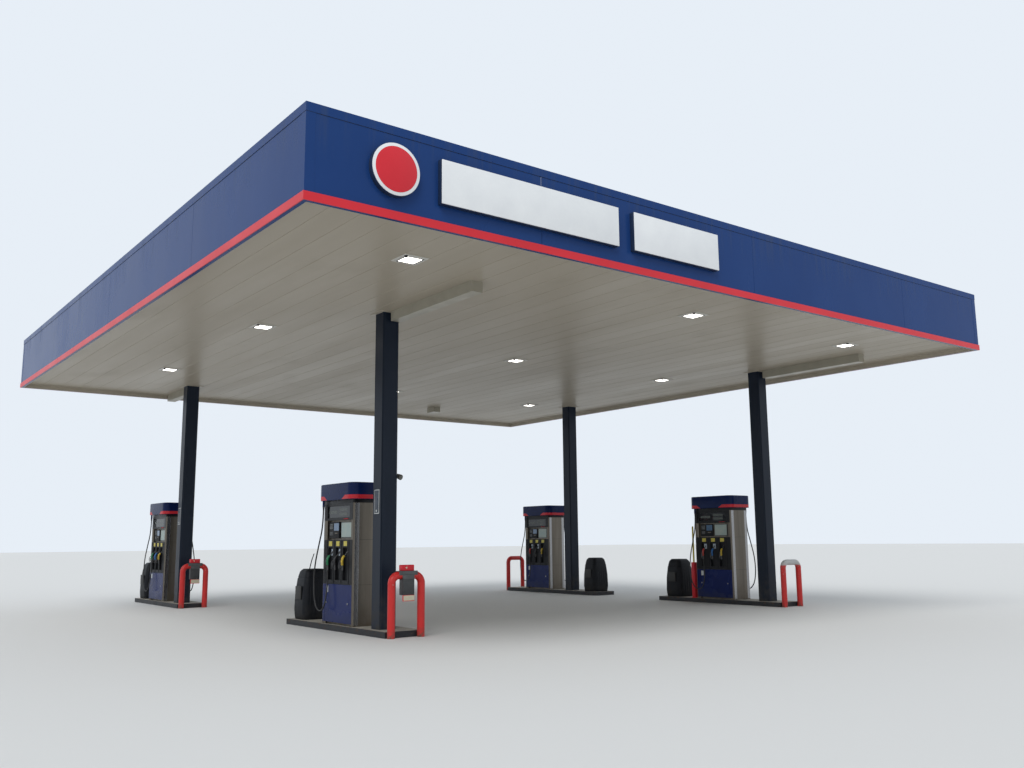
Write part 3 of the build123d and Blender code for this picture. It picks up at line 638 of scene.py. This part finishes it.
cover_enamel = finish("cover_enamel", (0.36, 0.335, 0.27), (0.30, 0.28, 0.225), 2.2, (0.3, 0.45), 0.0006, 25)
clothe(cover_enamel, "drain_covers")
cover_low, cover_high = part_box("drain_covers")
cover_half = 0.1
cover_shift = 0.05
collar_half = 0.2125
lap_half = 0.025
lap_sheet = 0.0015
screw_edge = cover_half - 0.001
screw_end = 0.1
screw_height = cover_low.z + 0.02
laps = bmesh.new()
cover_lines = []
for name in ("front_left", "front_right", "rear_left"):
    column = middle(f"column_{name}")
    front, back = cover_low.y, column.y - collar_half
    if name == "rear_left":
        front, back = column.y + collar_half, cover_high.y
    x, row = column.x + cover_shift, (front + back) / 2
    lap_ends = (cover_low.z - lap_sheet, pan_low.z - 0.002)
    bar(laps, x, cover_half + lap_sheet, (row - lap_half, row + lap_half), lap_ends, 0.001, 1)
    for way in (1, -1):
        ends = [(x + way * screw_edge, y, screw_height) for y in (front + screw_end, back - screw_end)]
        cover_lines.append(ends[::way])
fix(part("cover_laps", laps, cover_enamel), "ceiling_white")
cover_head = {"Spacing": 0.3, "Head_Radius": 0.006, "Head_Height": 0.004}
fix(rows("cover_screws", cover_lines, screws, Material=beam_zinc, **cover_head), "galvanised_steel")

# Islands: concrete poured into steel kerbs. The tops are pale and stained with drips by the dispensers,
# and the kerbs are painted dark, scraped and rusty along their edges.
concrete = finish("island_concrete", (0.38, 0.35, 0.30), (0.27, 0.25, 0.21), 5, (0.75, 0.92), 0.002, 160)
weather(concrete, -1, 0, (0.17, 0.155, 0.135), 0.6, 2.6, sharp=(0.56, 0.72))
kerb_dark = ((0.016, 0.018, 0.022), (0.030, 0.031, 0.034))
kerb_steel = finish("kerb_steel", *kerb_dark, 8, (0.42, 0.6), 0.0012, 80, shine=0.3)
weather(kerb_steel, 0.0, 0.11, (0.11, 0.058, 0.036), 0.85, 14, (1, 1, 1.5), (0.57, 0.68))
clothe(concrete, *[f"island_{name}" for name in corners])
clothe(kerb_steel, "island_kerbs")


# Guards: one length of 124 mm pipe bent twice and set in the ground at each island's nose, painted red.
# The paint is chipped along the rails, and the front right rail is rubbed down to bare grey metal.
def pipe_tree(name):
    """A tree that turns a bent line into a round pipe with eased bends."""
    tree, given = new_tree(name, ("Pipe Radius", "Float"), ("Bend Radius", "Float"))
    line = wire(tree, "GeometryNodeMeshToCurve", {0: given["Geometry"]}).outputs[0]
    bend = {"Curve": line, "Count": 12, "Radius": given["Bend Radius"]}
    bent = wire(tree, "GeometryNodeFilletCurve", bend, mode="POLY").outputs[0]
    round_edge = {"Resolution": 32, "Radius": given["Pipe Radius"]}
    ring = wire(tree, "GeometryNodeCurvePrimitiveCircle", round_edge).outputs[0]
    skin = wire(tree, "GeometryNodeCurveToMesh", {"Curve": bent, "Profile Curve": ring, "Fill Caps": True})
    return end_tree(tree, skin.outputs[0], given)


def guard_paint(name, chips, rubbed):
    """Red paint with chips that thicken towards the rail, and dirt at the foot."""
    paint = finish(name, (0.62, 0.026, 0.024), (0.54, 0.024, 0.022), 5, (0.28, 0.44), 0.0012, 70, shine=0.35)
    weather(paint, 0.55, 1.0, (0.40, 0.36, 0.33), 0.5, 42, sharp=chips)
    if rubbed:
        weather(paint, 0.90, 0.93, (0.50, 0.50, 0.49), 0.34, 5, sharp=rubbed)
    weather(paint, 0.16, 0.0, (0.13, 0.07, 0.05), 0.8, 18, sharp=(0.35, 0.6))
    return paint


pipe_radius = 0.062
bend_radius = 0.13
bent_pipe = pipe_tree("bent_pipe")
plain_guard = guard_paint("guard_red", (0.66, 0.69), None)
rubbed_guard = guard_paint("guard_red_rubbed", (0.60, 0.64), (0.28, 0.36))
for name in corners:
    low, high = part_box(f"guard_{name}")
    row = (low.y + high.y) / 2
    left, right, rail = low.x + pipe_radius, high.x - pipe_radius, high.z - pipe_radius
    line = [(left, row, low.z), (left, row, rail), (right, row, rail), (right, row, low.z)]
    pipe = put(f"guard_pipe_{name}", mesh_of(f"guard_pipe_{name}", line, [(0, 1), (1, 2), (2, 3)]))
    paint = rubbed_guard if name == "front_right" else plain_guard
    grow(pipe, bent_pipe, Pipe_Radius=pipe_radius, Bend_Radius=bend_radius, Material=paint)
    fix(pipe, "guard_red", f"guard_{name}")

# Stations on the two left guards: a dark grey saddle bent over the rail, with a red box on it, a dark box
# hung under it and a cream label plate below. All are folded sheet with eased edges, and nothing is lettered.
station_half = 0.17
station_sheet = 0.006
station_gap = 0.0003
box_size = Vector((0.22, 0.11, 0.25))
top_size = Vector((0.23, 0.10, 0.095))
label_size = Vector((0.22, 0.006, 0.095))
label_edge = 0.01
mark_radius = top_size.z * 0.24
station_grey = finish("station_grey", (0.09, 0.095, 0.098), (0.06, 0.064, 0.066), 12, (0.4, 0.55), 0.0006)
station_dark = finish("station_dark", (0.028, 0.030, 0.032), (0.045, 0.046, 0.047), 14, (0.35, 0.55), 0.0006)
label_cream = finish("label_cream", (0.62, 0.57, 0.42), (0.53, 0.48, 0.35), 25, (0.4, 0.55), 0.0003)
saddles, dark_boxes, red_boxes, labels = (bmesh.new() for _ in range(4))
for name in ("front_left", "rear_left"):
    low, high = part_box(f"guard_{name}")
    x, row = (low.x + high.x) / 2, (low.y + high.y) / 2
    reach = pipe_radius + station_gap
    outer = reach + station_sheet
    rail_top, rail_under = high.z + station_gap, high.z - 2 * pipe_radius
    top = rail_top + station_sheet
    hung = row - outer
    bar(saddles, x, station_half, (hung, row + outer), (rail_top, top))
    for way in faces:
        bar(saddles, x, station_half, (row + way * reach, row + way * outer), (top - 0.066, top - 0.001))
    half_box = box_size.x / 2
    box_bottom = rail_under - box_size.z
    bar(saddles, x, half_box, (hung, hung + station_sheet), (rail_under - 0.002, top - 0.06), 0.001)
    bar(dark_boxes, x, half_box, (hung, hung + box_size.y), (box_bottom, rail_under), 0.008, 3)
    bar(dark_boxes, x, half_box - 0.02, (hung - 0.004, hung + 0.002), (box_bottom + 0.03, rail_under - 0.05))
    front = row - top_size.y / 2
    bar(red_boxes, x, top_size.x / 2, (front, row + top_size.y / 2), (top, top + top_size.z), 0.01, 3)
    left, right, label_bottom = x - label_size.x / 2, x + label_size.x / 2, box_bottom - label_size.z
    block(red_boxes, (left, hung, label_bottom), (right, hung + label_size.y, box_bottom), 0.0015)
    label_low = (left + label_edge * 1.6, hung - 0.0015, label_bottom + label_edge)
    label_high = (right - label_edge * 0.4, hung + 0.002, box_bottom - label_edge * 0.6)
    block(labels, label_low, label_high, 0.0006, 1)
    mark = (x - 0.03, front, top + 0.05)
    spindle(labels, ((-0.0012, mark_radius), (0.002, mark_radius)), 3, mark, (0, 1, 0))
fix(part("station_saddles", saddles, station_grey), "galvanised_steel", "guard_stations")
fix(part("station_boxes", dark_boxes, station_dark), "dispenser_black", "guard_stations")
fix(part("station_red_tops", red_boxes, trim_red), "guard_red", "guard_stations")
fix(part("station_labels", labels, label_cream), "sign_white", "guard_stations")

# Dispensers: sheet metal cabinets on a low plinth, between folded stainless end covers. Each end cover has a
# bright strip down both corners. The steel is brushed upright. Its colours are darkened as painted shade, and
# lie in soft upright bands of painted reflection of the ground and sky.
# The steel tones below are darkened as painted shade, and their soft upright bands are painted reflection.
brush_and_reflection_bands = (9, 9, 0.35)
steel_with_painted_shade = ((0.168, 0.148, 0.122), (0.122, 0.107, 0.088))
bright_steel_with_painted_shade = ((0.34, 0.335, 0.335), (0.28, 0.276, 0.278))
stainless = finish("brushed_stainless", *steel_with_painted_shade, 1.4, (0.30, 0.44), 0.0004, 60, brush_and_reflection_bands, metal=1)
weather(stainless, 0.55, 0.12, (0.13, 0.105, 0.078), 0.62, 5.0)
bright_steel = finish("bright_stainless", *bright_steel_with_painted_shade, 2.0, (0.22, 0.34), 0.0003, 60, brush_and_reflection_bands, metal=1)
clothe(stainless, "dispenser_end_panels", *[f"dispenser_cabinet_{name}" for name in corners])
half_length = 0.57
half_width = 0.30
end_height = 2.08
end_cut = 0.025
strip_wide = 0.085
strip_sheet = 0.002
strip_bottom = 0.02
strip_out = half_width - end_cut - strip_wide / 2
end_turn = {-1: 0, 1: math.pi}


def on_ends(*shifts):
    """Repeat places given by their shift across, on both ends of all four dispensers."""
    return [
        (Vector((centre.x + shift, centre.y + end * half_length, island_top)), (0, 0, end_turn[end]))
        for centre in dispensers.values()
        for end in faces
        for shift in shifts
    ]


strip = bmesh.new()
bar(strip, 0, strip_wide / 2, (-strip_sheet, 0), (strip_bottom, end_height - 0.004), 0.0007, 1)
fix(copies("end_strips", strip, on_ends(-strip_out, strip_out), bright_steel), "stainless")
joint = bmesh.new()
for rise in (0.69, 1.45):
    bar(joint, 0, strip_out - strip_wide / 2, (-0.0012, 0.0004), (rise - 0.002, rise + 0.002), 0)
fix(copies("end_panel_joints", joint, on_ends(0), seal_black), "dispenser_black")


# Skirts and boots: the lower doors are covered with a glossy blue film and have locks and a blank label.
# The moulded black boots over them carry blank yellow and pale labels, and ribs stand between the nozzles.
def on_faces(*points, where=corners):
    """Repeat places given as (along, out, up) from a dispenser's middle, on both faces of those named."""
    return [
        (at_face(name, face, *point), (0, 0, face * math.pi / 2))
        for name in where
        for face in faces
        for point in points
    ]


def plates_on_faces(name, size, out, spots, material, slot, edge=0.0008, steps=1):
    """Fix a plate, sized across, up and out, at spots given as (along, up) on all the dispensers' faces."""
    wide, tall, thick = size
    plate = bmesh.new()
    bar(plate, 0, wide / 2, (-thick, 0.001), (-tall / 2, tall / 2), edge, steps)
    fix(copies(name, plate, on_faces(*[(along, out, up) for along, up in spots]), material), slot)


skirt_blue = ((0.006, 0.015, 0.092), (0.009, 0.020, 0.110))
skirt_film = finish("skirt_film", *skirt_blue, 2.0, (0.18, 0.3), 0.0005, 18, shine=0.14)
weather(skirt_film, 0.36, 0.12, (0.030, 0.034, 0.060), 0.6, 6.0)
clothe(skirt_film, "dispenser_skirts")
moulded_black = ((0.009, 0.0095, 0.011), (0.016, 0.0165, 0.019))
boot_black = finish("boot_black", *moulded_black, 7, (0.36, 0.55), 0.0008, 220, shine=0.18)
clothe(boot_black, "nozzle_boots")
label_yellow = finish("label_yellow", (0.62, 0.52, 0.06), (0.52, 0.43, 0.05), 30, (0.3, 0.45), 0.0003)
label_pale = finish("label_pale", (0.50, 0.56, 0.62), (0.40, 0.47, 0.55), 30, (0.3, 0.45), 0.0003)
boot_spacing = 0.28
boot_shifts = (-boot_spacing, 0, boot_spacing)
boot_hollow = half_width - 0.045
boot_middle = 1.07
rib_shifts = (-1.5 * boot_spacing + 0.01, -0.5 * boot_spacing, 0.5 * boot_spacing, 1.5 * boot_spacing - 0.01)
lap_wide = 0.078
lap_along = half_length - 0.11 + lap_wide / 2
lap_sides = (-lap_along, lap_along)
lock = bmesh.new()
spindle(lock, ((-0.002, 0.017), (0.006, 0.017), (0.008, 0.014)), 20, way=(0, -1, 0))
lock_places = on_faces((-0.40, half_width, 0.37), (0.40, half_width, 0.37))
fix(copies("skirt_locks", lock, lock_places, bright_steel), "stainless")
plates_on_faces("skirt_labels", (0.075, 0.11, 0.001), half_width, [(0.375, 0.60)], plate_white, "sign_white")
grade_spots = [(shift, 1.385) for shift in boot_shifts]
plates_on_faces("grade_plates", (0.12, 0.085, 0.003), half_width, grade_spots, label_yellow, "trim_red")
card_spots = [(shift, 1.235) for shift in boot_shifts[1:]]
plates_on_faces("hollow_cards", (0.085, 0.12, 0.002), boot_hollow, card_spots, label_pale, "sign_white")
rib_spots = [(shift, boot_middle) for shift in rib_shifts]
rib_size = (0.012, 0.74, 0.006)
plates_on_faces("boot_ribs", rib_size, half_width, rib_spots, boot_black, "dispenser_black", 0.002, 2)
door_spots = [(side, 0.363) for side in lap_sides]
plates_on_faces("door_laps", (lap_wide, 0.646, 0.002), half_width, door_spots, skirt_film, "dispenser_blue")
lap_spots = [(side, boot_middle) for side in lap_sides]
plates_on_faces("boot_laps", (lap_wide, 0.76, 0.003), half_width, lap_spots, boot_black, "dispenser_black")


# Nozzles: cast aluminium bodies with a bent steel spout up in the boot, a lever in a guard loop and a swivel
# below. A coloured plastic cover sits over each body: yellow, then blue or black, then green or red.
def bent_bar(shape, steps, sides):
    """Add a bent bar. Each step gives how far out and up it lies, and its radius there."""
    tube(shape, [(0, -out, up) for out, up, _ in steps], [reach for _, _, reach in steps], sides)


tail = 0.930
grip = (
    (0.046, 0, 0.0165),
    (0.046, 0.03, 0.0175),
    (0.05, 0.10, 0.0165),
    (0.056, 0.15, 0.0175),
    (0.045, 0.20, 0.0175),
    (0.02, 0.235, 0.0165),
)
spout = (
    (0.03, 0.225, 0.0125),
    (0.005, 0.252, 0.0118),
    (-0.016, 0.276, 0.0112),
    (-0.034, 0.300, 0.0108),
    (-0.0435, 0.324, 0.0100),
)
loop_line = ((0.050, 0.012), (0.092, 0.016), (0.114, 0.034), (0.119, 0.075), (0.116, 0.120), (0.098, 0.158))
loop = [(out, up, 0.0055) for out, up in (*loop_line, (0.062, 0.196))]
lever = (
    (0.052, 0.150, 0.005),
    (0.078, 0.138, 0.007),
    (0.092, 0.108, 0.0075),
    (0.094, 0.060, 0.007),
    (0.088, 0.040, 0.005),
)
nozzle = bmesh.new()
for steps, sides_round in ((grip, 16), (spout, 14), (loop, 10), (lever, 10)):
    bent_bar(nozzle, steps, sides_round)
cast_grey = ((0.07, 0.07, 0.072), (0.12, 0.12, 0.12))
nozzle_metal = finish("nozzle_metal", *cast_grey, 22, (0.38, 0.55), 0.0004, 150, metal=0.6)
nozzle_places = on_faces(*[(shift, half_width, tail) for shift in boot_shifts])
fix(copies("nozzle_bodies", nozzle, nozzle_places, nozzle_metal), "dispenser_black", "fuel_nozzles")
cover_steps = (
    (0.050, 0.086, 0.018),
    (0.053, 0.10, 0.0225),
    (0.060, 0.15, 0.0235),
    (0.052, 0.195, 0.0235),
    (0.030, 0.232, 0.0215),
    (0.016, 0.244, 0.018),
)
cover_colours = {
    "yellow": ((0.66, 0.46, 0.035), ("front_left", "front_right", "rear_left", "rear_right"), -boot_spacing),
    "green": ((0.03, 0.24, 0.10), ("front_left", "rear_left"), boot_spacing),
    "red": ((0.52, 0.04, 0.03), ("front_right", "rear_right"), boot_spacing),
    "blue": ((0.03, 0.16, 0.46), ("front_right", "rear_left"), 0),
    "black": ((0.02, 0.02, 0.021), ("front_left", "rear_right"), 0),
}
for colour_name, (colour, where, shift) in cover_colours.items():
    cover = bmesh.new()
    bent_bar(cover, cover_steps, 18)
    worn = tuple(0.75 * value + 0.01 for value in colour)
    plastic = finish(f"cover_{colour_name}", colour, worn, 35, (0.32, 0.5), 0.0006, 180)
    places = on_faces((shift, half_width, tail), where=where)
    slot = "trim_red" if colour_name == "red" else "dispenser_black"
    fix(copies(f"nozzle_covers_{colour_name}", cover, places, plastic), slot, "fuel_nozzles")

# Middle of the faces: between boots and head the cabinet's face lies back, and carries a pale information
# card in a thin frame, a small screen in a bezel, a keypad and a card slot. None of them is lettered.
back_plane = 0.24
card_paper = finish("card_paper", (0.30, 0.40, 0.39), (0.40, 0.45, 0.40), 9, (0.3, 0.45), 0.0003)
screen_blue = finish("screen_blue", (0.06, 0.13, 0.24), (0.09, 0.17, 0.29), 11, (0.10, 0.16))
screen_blue.node_tree.nodes["Principled BSDF"].inputs["Coat Weight"].default_value = 0.6
key_grey = finish("key_grey", (0.20, 0.21, 0.21), (0.15, 0.16, 0.16), 60, (0.35, 0.5), 0.0003)
card_spot, bezel_spot = (-0.215, 1.62), (0.215, 1.62)
key_spots = [(0.275 + 0.027 * i, 1.72 - 0.0235 * j) for i in range(4) for j in range(4)]
for name, size, spots, material, slot, edge, steps in (
    ("card_frames", (0.39, 0.28, 0.012), [card_spot], station_grey, "stainless", 0.003, 2),
    ("information_cards", (0.36, 0.25, 0.0135), [card_spot], card_paper, "sign_white", 0.0008, 1),
    ("terminal_bezels", (0.38, 0.29, 0.030), [bezel_spot], boot_black, "dispenser_black", 0.008, 3),
    ("terminal_screens", (0.18, 0.13, 0.0315), [(0.125, 1.675)], screen_blue, "dispenser_blue", 0.0008, 1),
    ("terminal_keys", (0.021, 0.017, 0.0345), key_spots, key_grey, "stainless", 0.002, 1),
    ("card_slots", (0.10, 0.022, 0.036), [(0.125, 1.565)], stainless, "stainless", 0.003, 2),
    ("receipt_doors", (0.105, 0.065, 0.033), [(0.315, 1.56)], station_grey, "stainless", 0.003, 2),
):
    plates_on_faces(name, size, back_plane, spots, material, slot, edge, steps)

# Display heads: dark moulded surrounds with a sunk window. Behind the tinted glass lie three blank counters,
# and a row of round buttons runs under it.
head_dark = ((0.009, 0.009, 0.011), (0.015, 0.015, 0.017))
head_black = finish("head_black", *head_dark, 9, (0.24, 0.38), 0.0004, shine=0.18)
clothe(head_black, "display_heads")
head_glass = finish("head_glass", (0.010, 0.012, 0.014), (0.016, 0.018, 0.02), 3, (0.05, 0.1))
counter_grey = finish("counter_grey", (0.05, 0.058, 0.05), (0.07, 0.08, 0.068), 50, (0.2, 0.3))
head_middle = 1.935
window_plane = half_width - 0.014
window_spot = [(0, head_middle)]
plates_on_faces("head_windows", (0.83, 0.20, 0.003), window_plane, window_spot, head_glass, "dispenser_black")
counter_spots = [(-0.17, head_middle + 0.04), (-0.17, head_middle - 0.04), (0.22, head_middle)]
counter_size = (0.30, 0.055, 0.0045)
plates_on_faces("head_counters", counter_size, window_plane, counter_spots, counter_grey, "stainless")
lap_spots = [(side, head_middle) for side in lap_sides]
plates_on_faces("head_laps", (lap_wide, 0.29, 0.003), half_width, lap_spots, head_black, "dispenser_black")
button = bmesh.new()
spindle(button, ((-0.001, 0.0095), (0.006, 0.0095), (0.008, 0.007)), 14, way=(0, -1, 0))
button_places = on_faces(*[(-0.36 + 0.045 * i, half_width, 1.81) for i in range(4)])
fix(copies("head_buttons", button, button_places, trim_red), "trim_red")


# Toppers: fibreglass hoods with rounded ends, moulded in navy, with a hose outlet under each long side.
# A red film runs round both ends along the lower edge and ends on the long sides in a slant.
def rounded_ring(height, wide, long, radius, steps=12):
    """A level ring round a rectangle with rounded corners, counter-clockwise."""
    ring = []
    for corner in range(4):
        x = (wide / 2 - radius) * (1 if corner in (0, 3) else -1)
        y = (long / 2 - radius) * (1 if corner in (0, 1) else -1)
        for step in range(steps + 1):
            angle = math.radians(90 * (corner + step / steps))
            ring.append((x + radius * math.cos(angle), y + radius * math.sin(angle), height))
    return ring


topper_wide = 0.78
topper_long = 1.30
topper_tall = 0.35
topper_round = 0.16
neck_tall = 0.06
neck_inset = 0.085
hood_tall = topper_tall - neck_tall
film_inset = 0.0015
film_sheet = 0.002
film_tall = 0.07
film_low = 0.0065
film_starts = ((0.28, film_low), (0.40, film_low + film_tall))


def topper_ring(height, inset):
    """A level ring of the hood's outline, drawn in by an inset."""
    return rounded_ring(height, topper_wide - 2 * inset, topper_long - 2 * inset, topper_round - inset)


neck_size = (topper_wide - 2 * neck_inset, topper_long - 2 * neck_inset)
neck, hood, film = bmesh.new(), bmesh.new(), bmesh.new()
stacked(neck, [rounded_ring(rise, *neck_size, 0.03, 4) for rise in (0, neck_tall + 0.004)])
hood_steps = [(0, 0.006), (0.006, film_inset), (hood_tall - 0.02, film_inset)]
hood_steps += [(hood_tall - 0.006, 0.007), (hood_tall, 0.022)]
stacked(hood, [topper_ring(rise, inset) for rise, inset in hood_steps])
outlet_along, outlet_out, outlet_up = hose_route[0]
drop = outlet_up - end_height - neck_tall
for face in faces:
    outlet = (face * outlet_out, -face * outlet_along, 0)
    spindle(hood, ((0.002, 0.02), (drop + 0.004, 0.02), (drop, 0.018)), 20, outlet)
corner_points = 13
for end in faces:
    skin = []
    for ring in (topper_ring(0, inset)[: 2 * corner_points] for inset in (0, film_sheet)):
        for start, height in film_starts:
            line = [(ring[0][0], start, 0), *ring, (ring[-1][0], start, 0)]
            skin.append([(end * x, end * y, height) for x, y, _ in line])
    out_low, out_high, in_low, in_high = skin
    stacked(film, list(zip(out_low, out_high, in_high, in_low)))
bmesh.ops.recalc_face_normals(film, faces=film.faces[:])
hood_navy = ((0.005, 0.014, 0.070), (0.007, 0.018, 0.082))
topper_navy = finish("topper_navy", *hood_navy, 2, (0.2, 0.3), 0.001, 8, shine=0.12)
neck_places = [(centre.x, centre.y, island_top + end_height) for centre in dispensers.values()]
hood_places = [(x, y, z + neck_tall) for x, y, z in neck_places]
fix(copies("topper_necks", neck, neck_places, head_black), "dispenser_black", "dispenser_toppers")
fix(copies("topper_hoods", hood, hood_places, topper_navy), "dispenser_blue", "dispenser_toppers")
fix(copies("topper_bands", film, hood_places, trim_red), "trim_red", "dispenser_toppers")

# Litter bins: rotationally moulded black plastic, ribbed upright on two sides, bulging and then closing in
# to a hood. Each has two mouths, drawn as near-black blocks that paint the shade inside the openings, and a
# seam where the hood lifts off. A squeegee stands in the nearest.
weathered_black = ((0.007, 0.008, 0.011), (0.013, 0.0145, 0.018))
bin_plastic = finish("bin_plastic", *weathered_black, 6, (0.38, 0.55), 0.0012, 150, shine=0.15)
weather(bin_plastic, 0.4, 0.12, (0.032, 0.030, 0.027), 0.75, 7.0)
bin_wide = 0.56
bin_long = 0.52
bin_tall = 0.92
bin_round = 0.11
bin_seam = 0.83
bin_shape = ((0, 0.94), (0.18, 1.0), (0.5, 0.97), (0.8, 0.86), (0.94, 0.74), (1, 0.58))
bin_levels = (0, 0.02, 0.1, 0.18, 0.3, 0.42, 0.5, 0.6, 0.7, 0.8, bin_seam, 0.835, 0.88, 0.94, 0.975, 1.0)
bin_notches = {0: 0.03, bin_seam: 0.02, 1.0: 0.03}


def bin_width_at(share):
    """The body's width at a share of its height, as a part of its greatest width."""
    for (low, before), (high, after) in zip(bin_shape, bin_shape[1:]):
        if share <= high:
            return before + (after - before) * (share - low) / (high - low)
    return bin_shape[-1][1]


body, rib, mouth_shade = bmesh.new(), bmesh.new(), bmesh.new()
body_rings = []
for share in bin_levels:
    width = bin_width_at(share) - bin_notches.get(share, 0)
    ring_size = (bin_wide * width, bin_long * width, bin_round * width)
    body_rings.append(rounded_ring(bin_tall * share, *ring_size, 7))
stacked(body, body_rings)
rib_depth = bin_long / 2 - 0.006
rib_levels = [(level, bin_width_at(level)) for level in (0.05, 0.18, 0.5, 0.8)]
for shift in (-0.16, -0.08, 0.0, 0.08, 0.16):
    for way in faces:
        path = [(shift * width, way * rib_depth * width, bin_tall * level) for level, width in rib_levels]
        tube(rib, path, (0.006, 0.014, 0.014, 0.006), 10)
# Mouths: near-black blocks let into both ends, whose black is painted shade for the openings.
mouth_low, mouth_high = 0.40, 0.66
mouth_half = 0.12
for way in faces:
    lean = way * bin_width_at(mouth_low) * bin_wide / 2
    corner = (lean + 0.001, mouth_half, bin_tall * mouth_high)
    block(mouth_shade, (lean - 0.022, -mouth_half, bin_tall * mouth_low), corner, 0.009, 3)
bin_nodes = [f"litter_bin_{name}" for name in corners]
bin_places = [(middle(node).x, middle(node).y, island_top) for node in bin_nodes]
fix(copies("bin_bodies", body, bin_places, bin_plastic), "bin_black", *bin_nodes)
fix(copies("bin_ribs", rib, bin_places, bin_plastic), "bin_black", *bin_nodes)
fix(copies("bin_mouths", mouth_shade, bin_places, gasket_black), "bin_black", *bin_nodes)
handle = bmesh.new()
x, y, z = bin_places[0]
handle_path = [(x - 0.10, y, z + 0.80), (x - 0.04, y - 0.02, z + 1.08), (x, y - 0.03, z + 1.20)]
tube(handle, handle_path, (0.009, 0.009, 0.008), 10)
fix(part("squeegee_handle", handle, boot_black), "bin_black")

# Marker post on the front right island: a folded red post between the bin and the dispenser,
# with a thin yellow rod standing in it.
post_x = dispensers["front_right"].x - half_width + 0.06
post_y = dispensers["front_right"].y + half_length + 0.12
post = bmesh.new()
bar(post, post_x, 0.05, (post_y - 0.05, post_y + 0.05), (island_top, island_top + 0.85), 0.008, 3)
bar(post, post_x, 0.07, (post_y - 0.07, post_y + 0.07), (island_top, island_top + 0.008), 0.002, 1)
fix(part("marker_post", post, trim_red), "guard_red")
rod = bmesh.new()
spindle(rod, ((0.84, 0.021), (1.70, 0.021), (1.72, 0.014)), 16, (post_x, post_y, island_top))
fix(part("marker_rod", rod, label_yellow), "guard_red")
